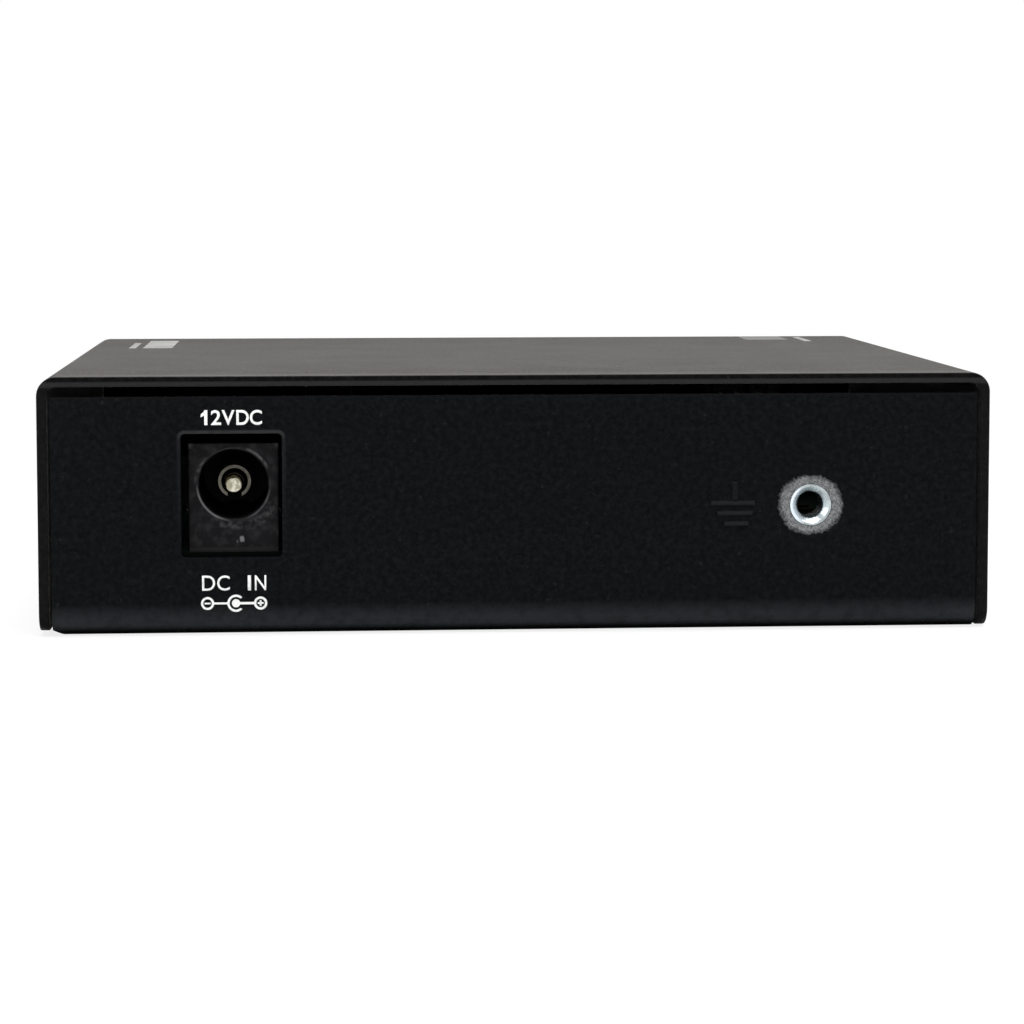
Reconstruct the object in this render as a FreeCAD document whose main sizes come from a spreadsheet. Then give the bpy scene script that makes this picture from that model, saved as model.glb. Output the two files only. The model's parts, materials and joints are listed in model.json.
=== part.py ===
import FreeCAD, Part
import math
import os

import Sketcher

# Small fibre media converter: a folded steel tray and cover around one circuit board.
# Frame: +Z up, origin under the middle of the case on the surface it stands on,
# -Y the power side (DC jack and grounding nut), +Y the port side (fibre, copper, lamps, switches).

# ---------------------------------------------------------------- driving dimensions (mm)

SIZES = [
    # case
    ("case_width", 95.0, "outside of the cover across X"),
    ("case_depth", 73.0, "outside of the case across Y"),
    ("case_height", 25.8, "table to the top of the cover"),
    ("sheet", 1.0, "gauge of the folded steel"),
    ("cover_bend", 1.9, "outer radius of the cover's two bends"),
    ("cover_lift", 0.45, "table to the lower edge of the cover's left side"),
    ("cover_lift_right", 0.1, "table to the lower edge of the cover's right side"),
    ("cover_corner", 2.0, "rounding of the cover's lower corners"),
    ("cover_gap", 0.05, "slip between cover sides and tray"),
    ("wall_slip", 0.25, "how much the power wall stops short of the tray's sides"),
    ("wall_drop", 1.0, "slip between end walls and the cover's underside"),
    ("end_bend", 2.3, "outer radius of the tray's end bends"),
    ("side_bend", 1.4, "outer radius of the tray's side bends"),
    ("flange_height", 9.0, "table to the top of the tray's side flanges"),
    ("flange_setback", 4.0, "end of a side flange to the end wall's outer face"),
    ("clip_width", 1.35, "clipped lower left corner of the end walls, across"),
    ("clip_height", 0.74, "clipped lower left corner of the end walls, up"),
    # vents in the cover sides
    ("vent_length", 8.0, "vent slot, upright length"),
    ("vent_width", 1.8, "vent slot, width"),
    ("vent_pitch", 4.0, "vent slots, spacing along Y"),
    ("vent_count", 8, "vent slots in each side"),
    ("vent_low", 11.5, "table to the lower end of a vent slot"),
    # case screws
    ("screw_level", 4.6, "table to the case screws' axes"),
    ("screw_size", 3.0, "nominal diameter of all screws"),
    ("screw_length", 5.5, "case screw with its countersunk head"),
    ("screw_head", 5.3, "countersunk head diameter"),
    ("screw_slip", 0.1, "radial slip of a screw in its tapped hole"),
    ("through_slip", 0.25, "radial slip of a screw in a plain hole"),
    ("sink_slip", 0.1, "radial slip of a countersunk head in its sink"),
    ("cross_width", 0.7, "blade width of a cross recess"),
    ("cross_span", 2.8, "span of a cross recess"),
    ("cross_depth", 1.1, "depth of a cross recess"),
    # board and its fixings
    ("standoff_height", 5.6, "tray floor to the board's underside"),
    ("standoff_flats", 5.0, "standoff across its flats"),
    ("rivet_slip", 0.03, "radial slip of a clinched shank in its hole"),
    ("board_thick", 1.6, "circuit board thickness"),
    ("board_edge", 0.8, "board edge to the tray's walls and flanges"),
    ("fixing_side", 5.45, "standoff axis to the side flange"),
    ("fixing_end", 6.5, "standoff axis to the end wall"),
    ("thread_depth", 4.5, "tapped depth of a standoff"),
    ("pan_head", 5.4, "board screw head diameter"),
    ("pan_height", 1.9, "board screw head height"),
    ("pan_shank", 5.0, "board screw shank length"),
    # grounding nut
    ("nut_inset", 18.1, "grounding nut's axis to the case's right side"),
    ("nut_level", 12.6, "table to the grounding nut's axis"),
    ("nut_bore", 2.6, "tapped bore of the grounding nut"),
    ("nut_chamfer", 0.6, "chamfer at the bore's mouth"),
    ("nut_shank", 4.2, "clinched shank of the nut"),
    ("nut_flange", 6.35, "flange behind the wall"),
    ("nut_length", 2.5, "flange thickness behind the wall"),
    # DC jack
    ("jack_inset", 19.25, "DC jack's middle to the case's left side"),
    ("jack_width", 8.9, "jack body across"),
    ("jack_height", 10.9, "jack body over the board"),
    ("jack_length", 14.2, "jack body front to back"),
    ("jack_recess", 1.05, "jack face behind the wall's outer face"),
    ("jack_brow", 3.6, "depth of the jack's full-size front block"),
    ("jack_waist", 0.5, "step from the front block to the rear body"),
    ("jack_shoulder", 1.5, "chamfer of the rear body's upper edges"),
    ("jack_window_left", 0.7, "gap left of the jack in its cut-out"),
    ("jack_window_right", 0.35, "gap right of the jack in its cut-out"),
    ("jack_window_top", 1.0, "gap over the jack in its cut-out"),
    ("jack_window_foot", 0.4, "gap under the jack in its cut-out"),
    ("window_corner", 0.5, "corner radius of the cut-outs"),
    ("socket_level", 6.8, "board to the socket's axis"),
    ("socket_bore", 6.85, "socket bore"),
    ("socket_depth", 10.8, "socket depth"),
    ("socket_chamfer", 0.18, "chamfer at the socket's mouth"),
    ("pin_diameter", 2.0, "centre pin"),
    ("pin_recess", 0.35, "pin tip behind the jack face"),
    ("pin_tip", 0.35, "chamfer of the pin's tip"),
    ("collar_outer", 3.4, "rolled collar round the pin's root, outside"),
    ("collar_wall", 0.42, "rolled collar's wall"),
    ("collar_recess", 3.0, "collar's lip behind the jack face"),
    ("collar_seam", 1.3, "collar's open seam at the bottom"),
    ("strip", 0.35, "gauge of contact strip and terminals"),
    ("terminal_width", 2.4, "jack terminal width"),
    ("terminal_drop", 3.2, "terminals below the board's top"),
    ("solder_slip", 0.2, "gap of a lead in its board hole"),
    # copper port
    ("copper_share", -0.31, "copper port, place along X as a share of the case width"),
    ("copper_width", 16.1, "copper port shell across"),
    ("copper_height", 13.3, "copper port shell over the board"),
    ("copper_length", 21.3, "copper port front to back"),
    ("shell_gauge", 0.25, "gauge of the copper port's shell"),
    ("plug_width", 11.9, "plug cavity across"),
    ("plug_height", 7.0, "plug cavity, height"),
    ("plug_depth", 14.0, "plug cavity, depth"),
    ("plug_level", 4.2, "board to the plug cavity's floor"),
    ("latch_width", 6.2, "latch notch under the plug cavity"),
    ("latch_height", 2.2, "latch notch depth"),
    ("wire_pitch", 1.02, "contact wire pitch"),
    ("wire_width", 0.45, "contact wire width"),
    ("wire_count", 8, "contact wires"),
    ("wire_front", 3.1, "front of the wires' top run behind the port's face"),
    ("wire_tip", 9.8, "wire tips behind the port's face"),
    ("wire_hang", 2.45, "drop of the wire tips below the cavity's roof"),
    # fibre port
    ("fibre_share", -0.03, "fibre port, place along X as a share of the case width"),
    ("fibre_width", 25.4, "fibre port across"),
    ("fibre_height", 11.6, "fibre port nose over the board"),
    ("fibre_nose", 17.0, "fibre port nose, front to back"),
    ("fibre_length", 39.6, "fibre port with its rear housing"),
    ("fibre_rear", 9.8, "rear housing height over the board"),
    ("fibre_pitch", 12.7, "spacing of the two fibre sockets"),
    ("socket_width", 9.3, "fibre socket across"),
    ("socket_height", 7.6, "fibre socket, height"),
    ("socket_reach", 14.5, "fibre socket, depth"),
    ("socket_floor", 1.9, "board to the fibre socket's floor"),
    ("key_width", 2.4, "key slot over the fibre socket"),
    ("key_height", 0.9, "key slot depth"),
    ("barrel_diameter", 5.4, "optical barrel"),
    ("sleeve_diameter", 3.2, "split ceramic sleeve"),
    ("ferrule_bore", 2.5, "bore of the split sleeve"),
    ("sleeve_reach", 9.0, "sleeve standing out of the socket's end"),
    ("sleeve_slit", 0.3, "slit along the sleeve"),
    ("arm_gauge", 0.8, "latch arm thickness"),
    ("arm_height", 4.0, "latch arm height"),
    ("arm_length", 9.0, "latch arm length"),
    ("arm_hook", 0.6, "hook at the latch arm's end"),
    ("signal_pitch", 2.54, "fibre port's signal pins, spacing"),
    ("signal_count", 9, "fibre port's signal pins"),
    ("pin_gauge", 0.5, "fibre port's square signal pins"),
    ("post_gauge", 1.6, "fibre port's two square front posts"),
    ("post_pitch", 20.3, "spacing of the two front posts"),
    # ports in the wall
    ("port_gap", 0.1, "gap around the ports in their cut-outs"),
    ("port_recess", 0.1, "port faces behind the wall's outer face"),
    ("port_shoulder", 0.4, "port bodies wider behind the wall than their cut-outs, each side"),
    ("shoulder_depth", 1.1, "port face to the shoulder behind the wall"),
    # lamps
    ("lamp_share", 0.345, "lamp block, place along X as a share of the case width"),
    ("lamp_spacing_x", 4.6, "lamps, spacing across"),
    ("lamp_spacing_z", 3.9, "lamps, spacing upwards"),
    ("lamp_low", 3.0, "board to the lowest lamps' axes"),
    ("lamp_width", 3.0, "lamp lens across"),
    ("lamp_height", 1.8, "lamp lens, height"),
    ("lamp_gap", 0.15, "gap around a lens in the wall"),
    ("lamp_flange", 0.3, "lens flange, wider than the lens all round"),
    ("holder_length", 5.0, "lamp holder, front to back"),
    ("holder_margin", 2.0, "holder wall outside the lamps' axes"),
    # switches
    ("switch_share", 0.21, "switch bank, place along X as a share of the case width"),
    ("switch_width", 11.7, "switch bank across"),
    ("switch_height", 9.9, "switch bank over the board"),
    ("switch_face", 0.55, "switch face behind the wall's outer face"),
    ("switch_shell", 3.2, "depth of the switch bank's cover"),
    ("switch_chamfer", 0.35, "chamfer of the cover's upper front edge"),
    ("switch_base", 3.0, "depth of the switch bank's base"),
    ("lever_pitch", 2.54, "spacing of the switch levers"),
    ("lever_width", 1.0, "switch lever across"),
    ("lever_height", 1.5, "switch lever, height"),
    ("lever_travel", 1.4, "switch lever travel, upwards"),
    ("lever_gap", 0.15, "running gap of a lever in its slot"),
    ("lever_low", 3.6, "board to the slot's lower end"),
    ("lever_foot", 0.5, "lever foot, wider than the lever each way"),
    ("foot_gauge", 0.8, "lever foot thickness"),
    ("face_gauge", 1.0, "face of the switch bank's cover"),
    # parts on the board
    ("chip_x", 18.0, "controller, place along X"),
    ("chip_y", -8.0, "controller, place along Y"),
    ("chip_size", 12.0, "controller body"),
    ("chip_height", 1.6, "controller height over the board"),
    ("lead_pitch", 1.27, "controller lead pitch"),
    ("lead_count", 6, "controller leads along each side"),
    ("lead_width", 0.4, "controller lead width"),
    ("lead_gauge", 0.2, "controller lead thickness"),
    ("lead_reach", 1.2, "controller lead length"),
    ("grid_step", 2.0, "placing grid of the small parts round the controller"),
    ("small_length", 2.0, "small surface-mount part, length"),
    ("small_width", 1.25, "small surface-mount part, width"),
    ("small_height", 0.6, "small surface-mount part, height"),
    ("magnetics_gap", 5.5, "transformer to the copper port in front of it"),
    ("magnetics_width", 12.7, "transformer across X"),
    ("magnetics_depth", 7.1, "transformer across Y"),
    ("magnetics_height", 5.6, "transformer height"),
    ("magnetics_pitch", 2.54, "transformer leads, spacing"),
    ("magnetics_count", 5, "transformer leads along each side"),
    ("crystal_x", 0.0, "crystal, place along X"),
    ("crystal_y", -11.0, "crystal, place along Y"),
    ("crystal_length", 5.0, "crystal package along Y"),
    ("crystal_width", 3.2, "crystal package across X"),
    ("crystal_height", 1.2, "crystal package height"),
    ("crystal_lid", 0.5, "thickness of the crystal's lid"),
    ("coil_x", -6.0, "inductor, place along X"),
    ("coil_y", -25.0, "inductor, place along Y"),
    ("coil_size", 10.0, "inductor across"),
    ("coil_height", 4.4, "inductor height"),
    ("coil_base", 1.1, "thickness of the inductor's square base"),
    ("coil_corner", 1.6, "cut corners of the inductor's base"),
    ("can_x", -15.0, "capacitor, place along X"),
    ("can_y", -20.0, "capacitor, place along Y"),
    ("can_diameter", 6.3, "capacitor can"),
    ("can_height", 7.7, "capacitor can height"),
    ("can_corner", 1.3, "cut corners of the capacitor's base"),
    ("regulator_x", 8.0, "regulator, place along X"),
    ("regulator_y", -27.0, "regulator, place along Y"),
    ("regulator_width", 6.5, "regulator body across X"),
    ("regulator_depth", 3.5, "regulator body across Y"),
    ("regulator_height", 1.6, "regulator height"),
    ("regulator_reach", 1.8, "regulator's legs and tab beyond its body"),
    ("regulator_pitch", 2.3, "regulator legs, spacing"),
    ("regulator_leg", 0.7, "regulator leg width"),
]

# ---------------------------------------------------------------- document and sheet

doc = FreeCAD.newDocument("fibre_media_converter")
sheet = doc.addObject("Spreadsheet::Sheet", "Sizes")
for row, (alias, number, meaning) in enumerate(SIZES, start=1):
    sheet.set(f"A{row}", alias)
    sheet.set(f"B{row}", str(number))
    sheet.set(f"C{row}", meaning)
    sheet.setAlias(f"B{row}", alias)
doc.recompute()

# Shared expressions: places that several pieces line up with.
HALF_WIDTH = "Sizes.case_width / 2"
HALF_DEPTH = "Sizes.case_depth / 2"
COVER_INSIDE = f"({HALF_WIDTH} - Sizes.sheet)"
CEILING = "(Sizes.case_height - Sizes.sheet)"
WALL_TOP = f"({CEILING} - Sizes.wall_drop)"
TRAY_HALF = f"({COVER_INSIDE} - Sizes.cover_gap)"
TRAY_INSIDE = f"({TRAY_HALF} - Sizes.sheet)"
BOARD_TOP = "(Sizes.sheet + Sizes.standoff_height + Sizes.board_thick)"
BOARD_HALF_X = f"({TRAY_INSIDE} - Sizes.board_edge)"
BOARD_HALF_Y = f"({HALF_DEPTH} - Sizes.sheet - Sizes.board_edge)"
FLANGE_HALF = f"({HALF_DEPTH} - Sizes.flange_setback)"
FIXING_X = f"({TRAY_INSIDE} - Sizes.fixing_side)"
FIXING_Y = f"({HALF_DEPTH} - Sizes.sheet - Sizes.fixing_end)"
JACK_FACE = f"(-{HALF_DEPTH} + Sizes.jack_recess)"
PORT_FACE = f"({HALF_DEPTH} - Sizes.port_recess)"
JACK_X = f"(Sizes.jack_inset - {HALF_WIDTH})"
NUT_X = f"({HALF_WIDTH} - Sizes.nut_inset)"
COPPER_X = "(Sizes.copper_share * Sizes.case_width)"
FIBRE_X = "(Sizes.fibre_share * Sizes.case_width)"
SWITCH_X = "(Sizes.switch_share * Sizes.case_width)"
LAMP_X = "(Sizes.lamp_share * Sizes.case_width)"
TAPPED_RADIUS = "(Sizes.screw_size / 2 + Sizes.screw_slip)"
PLAIN_RADIUS = "(Sizes.screw_size / 2 + Sizes.through_slip)"
LAMP_ROWS = 3
LEVERS = 4
# DC jack, from its face: rear terminal, spring leg, side lug (across and along)
JACK_TAIL = "(Sizes.jack_length + Sizes.strip / 2)"
JACK_SPRING = "(Sizes.jack_brow + Sizes.terminal_width)"
JACK_SIDE = "(Sizes.jack_width / 2 - Sizes.jack_waist + Sizes.strip / 2 + Sizes.rivet_slip)"
JACK_SIDE_AT = "(Sizes.jack_length - 2 * Sizes.terminal_width)"
# copper port, from its face: contact wires behind the plug cavity
WIRES_AT = "(Sizes.plug_depth + 4 * Sizes.wire_width)"
# fibre port, from its face and from the board
FIBRE_AXIS = "(Sizes.socket_floor + Sizes.socket_height / 2)"
BARREL_LENGTH = "(1.5 * Sizes.barrel_diameter)"
POST_AT = "(Sizes.fibre_nose / 2)"
PINS_AT = "(Sizes.fibre_length - Sizes.signal_pitch)"
# how near two lengths or places have to be to count as the same
SAME = 1e-4
# a margin that keeps tests on edges clear of rounding
MARGIN = 0.01


def number(alias):
    """A driving dimension read back from the sheet."""
    return float(sheet.get(alias))


# ---------------------------------------------------------------- modelling helpers

def new_body(label):
    body = doc.addObject("PartDesign::Body", label)
    body.Label = label
    return body


def origin_feature(body, role):
    return next(item for item in body.Origin.OriginFeatures if item.Role == role)


def place(piece, x="0", y="0", z="0"):
    """Bind a sub-part's Placement to expressions."""
    for axis, expression in (("x", x), ("y", y), ("z", z)):
        piece.setExpression(f"Placement.Base.{axis}", expression)


def new_sketch(body, role, offset="0", across="0", up="0"):
    """Sketch on an origin plane, its origin moved by expressions: along the normal, then in the plane."""
    sketch = body.newObject("Sketcher::SketchObject", f"{body.Label}_sketch")
    sketch.AttachmentSupport = [(origin_feature(body, role), "")]
    sketch.MapMode = "FlatFace"
    for axis, expression in (("x", across), ("y", up), ("z", offset)):
        sketch.setExpression(f"AttachmentOffset.Base.{axis}", expression)
    return sketch


def pin_point(sketch, geometry, position, across, up):
    """Pin one point of the sketch at two signed expressions from the sketch's origin."""
    for kind, expression in (("DistanceX", across), ("DistanceY", up)):
        index = sketch.addConstraint(Sketcher.Constraint(kind, -1, 1, geometry, position, 1.0))
        sketch.setExpression(f"Constraints[{index}]", expression)


def outline(sketch, corners):
    """Closed polygon with every corner pinned at a pair of expressions."""
    count = len(corners)
    first = sketch.GeometryCount
    ring = []
    for step in range(count):
        angle = 2 * math.pi * step / count
        ring.append(FreeCAD.Vector(math.cos(angle), math.sin(angle), 0))
    for step in range(count):
        sketch.addGeometry(Part.LineSegment(ring[step], ring[(step + 1) % count]))
    for step in range(count):
        following = first + (step + 1) % count
        sketch.addConstraint(Sketcher.Constraint("Coincident", first + step, 2, following, 1))
    for step, (across, up) in enumerate(corners):
        pin_point(sketch, first + step, 1, across, up)


def rectangle(sketch, left, low, right, high):
    outline(sketch, [(left, low), (right, low), (right, high), (left, high)])


def centred(sketch, across, up, width, height):
    """Rectangle about a centre."""
    rectangle(
        sketch,
        f"{across} - {width} / 2",
        f"{up} - {height} / 2",
        f"{across} + {width} / 2",
        f"{up} + {height} / 2",
    )


def circle(sketch, across, up, radius):
    index = sketch.addGeometry(Part.Circle(FreeCAD.Vector(0, 0, 0), FreeCAD.Vector(0, 0, 1), 1.0))
    rule = sketch.addConstraint(Sketcher.Constraint("Radius", index, 1.0))
    sketch.setExpression(f"Constraints[{rule}]", radius)
    pin_point(sketch, index, 3, across, up)


def extrude(body, kind, sketch, length, symmetric=False, reverse=False):
    """Pad or Pocket of a sketch."""
    feature = body.newObject(f"PartDesign::{kind}", f"{body.Label}_{kind.lower()}")
    feature.Profile = sketch
    feature.setExpression("Length", length)
    feature.SideType = "Symmetric" if symmetric else "One side"
    feature.Reversed = reverse
    doc.recompute()
    return feature


def pad(body, sketch, length, **options):
    return extrude(body, "Pad", sketch, length, **options)


def pocket(body, sketch, length, **options):
    """Pocket that has to remove metal."""
    before = body.Tip.Shape.Volume
    feature = extrude(body, "Pocket", sketch, length, **options)
    if not feature.Shape.Volume < before - SAME:
        raise RuntimeError(f"{body.Label}: a pocket cuts nothing")
    return feature


def revolve(body, sketch, axis="H_Axis"):
    """Full turn of a sketch about one of its own axes."""
    feature = body.newObject("PartDesign::Revolution", f"{body.Label}_revolution")
    feature.Profile = sketch
    feature.ReferenceAxis = (sketch, [axis])
    feature.Angle = 360
    doc.recompute()
    return feature


def edges_of(feature, wanted):
    """Names of a feature's edges that a test on (edge, centre) picks."""
    names = []
    for index, edge in enumerate(feature.Shape.Edges, start=1):
        if wanted(edge, edge.CenterOfMass):
            names.append(f"Edge{index}")
    if not names:
        raise RuntimeError(f"{feature.Label}: no edge to dress")
    return names


def dress(body, kind, wanted, size):
    """Fillet or Chamfer on the picked edges of the body's tip."""
    base = body.Tip
    feature = body.newObject(f"PartDesign::{kind}", f"{body.Label}_{kind.lower()}")
    feature.Base = (base, edges_of(base, wanted))
    feature.setExpression("Radius" if kind == "Fillet" else "Size", size)
    doc.recompute()
    return feature


def mirror(body, role, originals=None):
    """Mirror features, or the whole body, across an origin plane."""
    feature = body.newObject("PartDesign::Mirrored", f"{body.Label}_mirrored")
    feature.MirrorPlane = (origin_feature(body, role), [""])
    if originals:
        feature.Originals = originals
    else:
        feature.TransformMode = "Whole shape"
    body.Tip = feature
    doc.recompute()
    return feature


def row_of(body, axis, pitch, count, originals=None):
    """Linear pattern with a pitch and a count taken from expressions."""
    feature = body.newObject("PartDesign::LinearPattern", f"{body.Label}_row")
    feature.Direction = (origin_feature(body, axis), [""])
    if originals:
        feature.Originals = originals
    else:
        feature.TransformMode = "Whole shape"
    feature.Mode = "Extent"
    feature.setExpression("Length", f"{pitch} * ({count} - 1)")
    feature.setExpression("Occurrences", count)
    body.Tip = feature
    doc.recompute()
    return feature


def along(edge, axis):
    """True for a straight edge parallel to an axis vector."""
    if edge.Curve.TypeId != "Part::GeomLine":
        return False
    return near(abs(edge.tangentAt(edge.FirstParameter).dot(axis)), 1)


def near(one, other):
    return abs(one - other) < SAME


X_WAY = FreeCAD.Vector(1, 0, 0)
Y_WAY = FreeCAD.Vector(0, 1, 0)
Z_WAY = FreeCAD.Vector(0, 0, 1)


# ---------------------------------------------------------------- case

def make_tray():
    """Folded tray: floor, two full end walls, two low side flanges inside the cover."""
    body = new_body("base_tray")
    inner = f"({HALF_DEPTH} - Sizes.sheet)"
    strip = new_sketch(body, "YZ_Plane")
    outline(strip, [
        (f"-{HALF_DEPTH}", "0"),
        (HALF_DEPTH, "0"),
        (HALF_DEPTH, WALL_TOP),
        (inner, WALL_TOP),
        (inner, "Sizes.sheet"),
        (f"-{inner}", "Sizes.sheet"),
        (f"-{inner}", WALL_TOP),
        (f"-{HALF_DEPTH}", WALL_TOP),
    ])
    pad(body, strip, f"2 * {TRAY_HALF}", symmetric=True)
    dress(body, "Fillet", lambda edge, at: along(edge, X_WAY) and near(at.z, 0), "Sizes.end_bend")
    dress(
        body, "Fillet",
        lambda edge, at: along(edge, X_WAY) and near(at.z, number("sheet")),
        "Sizes.end_bend - Sizes.sheet",
    )

    # the floor stops at the side bends, with a relief at each end of the flanges
    notch = new_sketch(body, "XY_Plane")
    reach = f"({FLANGE_HALF} + Sizes.sheet)"
    for side in ("", "-"):
        rectangle(
            notch,
            f"{side}({TRAY_HALF} - Sizes.side_bend)", f"-{reach}",
            f"{side}({TRAY_HALF} + Sizes.sheet)", reach,
        )
    pocket(body, notch, "Sizes.sheet", reverse=True)

    fold = new_sketch(body, "XZ_Plane")
    for side in ("", "-"):
        root = f"{side}({TRAY_HALF} - Sizes.side_bend)"
        outline(fold, [
            (root, "0"),
            (f"{side}{TRAY_HALF}", "0"),
            (f"{side}{TRAY_HALF}", "Sizes.flange_height"),
            (f"{side}{TRAY_INSIDE}", "Sizes.flange_height"),
            (f"{side}{TRAY_INSIDE}", "Sizes.sheet"),
            (root, "Sizes.sheet"),
        ])
    pad(body, fold, f"2 * {FLANGE_HALF}", symmetric=True)
    tray_half = number("case_width") / 2 - number("sheet") - number("cover_gap")
    tray_inside = tray_half - number("sheet")
    dress(
        body, "Fillet",
        lambda edge, at: along(edge, Y_WAY) and near(at.z, 0) and near(at.y, 0) and at.Length > tray_inside,
        "Sizes.side_bend",
    )
    dress(
        body, "Fillet",
        lambda edge, at: along(edge, Y_WAY) and near(at.z, number("sheet")) and near(abs(at.x), tray_inside),
        "Sizes.side_bend - Sizes.sheet",
    )

    clip = new_sketch(body, "XZ_Plane", HALF_DEPTH)
    outline(clip, [
        (f"-{TRAY_HALF}", "0"),
        (f"-{TRAY_HALF}", "Sizes.clip_height"),
        (f"-({TRAY_HALF} - Sizes.clip_width)", "0"),
    ])
    clipped = pocket(body, clip, "Sizes.flange_setback")
    mirror(body, "XZ_Plane", [clipped])

    slip = new_sketch(body, "XZ_Plane", HALF_DEPTH)
    for side in ("", "-"):
        rectangle(
            slip, f"{side}({TRAY_HALF} - Sizes.wall_slip)", "0",
            f"{side}({TRAY_HALF} + Sizes.sheet)", WALL_TOP,
        )
    pocket(body, slip, "(Sizes.flange_setback - Sizes.sheet)")

    rear = new_sketch(body, "XZ_Plane", HALF_DEPTH)
    rectangle(
        rear,
        f"{JACK_X} - Sizes.jack_width / 2 - Sizes.jack_window_left",
        f"{BOARD_TOP} - Sizes.jack_window_foot",
        f"{JACK_X} + Sizes.jack_width / 2 + Sizes.jack_window_right",
        f"{BOARD_TOP} + Sizes.jack_height + Sizes.jack_window_top",
    )
    circle(rear, NUT_X, "Sizes.nut_level", "Sizes.nut_shank / 2 + Sizes.rivet_slip")
    pocket(body, rear, "2 * Sizes.sheet")
    wall_inside = number("case_depth") / 2 - number("sheet")
    dress(
        body, "Fillet",
        lambda edge, at: along(edge, Y_WAY) and at.y < -wall_inside and abs(at.x) < tray_inside - MARGIN,
        "Sizes.window_corner",
    )

    front = new_sketch(body, "XZ_Plane", f"-{HALF_DEPTH}")
    for place_x, width, high in (
        (COPPER_X, "Sizes.copper_width", "Sizes.copper_height"),
        (FIBRE_X, "Sizes.fibre_width", "Sizes.fibre_height"),
        (SWITCH_X, "Sizes.switch_width", "Sizes.switch_height"),
    ):
        rectangle(
            front,
            f"{place_x} - {width} / 2 - Sizes.port_gap", f"{BOARD_TOP} - Sizes.port_gap",
            f"{place_x} + {width} / 2 + Sizes.port_gap", f"{BOARD_TOP} + {high} + Sizes.port_gap",
        )
    pocket(body, front, "2 * Sizes.sheet", reverse=True)

    lamps = new_sketch(body, "XZ_Plane", f"-{HALF_DEPTH}")
    for column in (-1, 1):
        for level in range(LAMP_ROWS):
            centred(
                lamps,
                f"{LAMP_X} + {column} * Sizes.lamp_spacing_x / 2",
                f"{BOARD_TOP} + Sizes.lamp_low + {level} * Sizes.lamp_spacing_z",
                "(Sizes.lamp_width + 2 * Sizes.lamp_gap)",
                "(Sizes.lamp_height + 2 * Sizes.lamp_gap)",
            )
    pocket(body, lamps, "2 * Sizes.sheet", reverse=True)

    threads = new_sketch(body, "YZ_Plane")
    circle(threads, "0", "Sizes.screw_level", TAPPED_RADIUS)
    pocket(body, threads, f"2 * {TRAY_HALF} + Sizes.sheet", symmetric=True)
    return body


def make_cover():
    """Folded cover: top and two sides, with vents and countersunk screw holes in the sides."""
    body = new_body("top_cover")
    section = new_sketch(body, "XZ_Plane")
    outline(section, [
        (f"-{HALF_WIDTH}", "Sizes.cover_lift"),
        (f"-{HALF_WIDTH}", "Sizes.case_height"),
        (HALF_WIDTH, "Sizes.case_height"),
        (HALF_WIDTH, "Sizes.cover_lift_right"),
        (COVER_INSIDE, "Sizes.cover_lift_right"),
        (COVER_INSIDE, CEILING),
        (f"-{COVER_INSIDE}", CEILING),
        (f"-{COVER_INSIDE}", "Sizes.cover_lift"),
    ])
    pad(body, section, "Sizes.case_depth", symmetric=True)
    dress(
        body, "Fillet",
        lambda edge, at: along(edge, Y_WAY) and near(at.z, number("case_height")),
        "Sizes.cover_bend",
    )
    dress(
        body, "Fillet",
        lambda edge, at: along(edge, Y_WAY) and near(at.z, number("case_height") - number("sheet")),
        "Sizes.cover_bend - Sizes.sheet",
    )
    dress(
        body, "Fillet",
        lambda edge, at: along(edge, X_WAY) and at.z < number("cover_corner"),
        "Sizes.cover_corner",
    )

    points = new_sketch(body, "YZ_Plane", HALF_WIDTH)
    circle(points, "0", "Sizes.screw_level", "Sizes.screw_size / 2")
    doc.recompute()
    hole = body.newObject("PartDesign::Hole", "screw_holes")
    hole.Profile = points
    hole.ThreadType = 0
    hole.DepthType = "Dimension"
    hole.DrillPoint = "Flat"
    hole.setExpression("Depth", "2 * Sizes.sheet")
    hole.setExpression("Diameter", f"2 * {PLAIN_RADIUS}")
    hole.HoleCutType = "Countersink"
    hole.HoleCutCustomValues = True
    hole.setExpression("HoleCutDiameter", "Sizes.screw_head + 2 * Sizes.sink_slip")
    hole.HoleCutCountersinkAngle = 90
    doc.recompute()
    mirror(body, "YZ_Plane", [hole])

    vent = new_sketch(body, "YZ_Plane")
    first = "-Sizes.vent_pitch * (Sizes.vent_count - 1) / 2"
    rectangle(
        vent, f"{first} - Sizes.vent_width / 2", "Sizes.vent_low",
        f"{first} + Sizes.vent_width / 2", "Sizes.vent_low + Sizes.vent_length",
    )
    vents = pocket(body, vent, "Sizes.case_width + Sizes.sheet", symmetric=True)
    row_of(body, "Y_Axis", "Sizes.vent_pitch", "Sizes.vent_count", [vents])
    return body


def make_ground_nut():
    """Self-clinching nut: shank flush with the end wall's face, flange behind it."""
    body = new_body("ground_nut")
    profile = new_sketch(body, "XY_Plane")
    bore = "Sizes.nut_bore / 2"
    outline(profile, [
        (f"{bore} + Sizes.nut_chamfer", "0"),
        ("Sizes.nut_shank / 2", "0"),
        ("Sizes.nut_shank / 2", "Sizes.sheet"),
        ("Sizes.nut_flange / 2", "Sizes.sheet"),
        ("Sizes.nut_flange / 2", "Sizes.sheet + Sizes.nut_length"),
        (bore, "Sizes.sheet + Sizes.nut_length"),
        (bore, "Sizes.nut_chamfer"),
    ])
    revolve(body, profile, "V_Axis")
    place(body, NUT_X, f"-{HALF_DEPTH}", "Sizes.nut_level")
    return body


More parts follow.
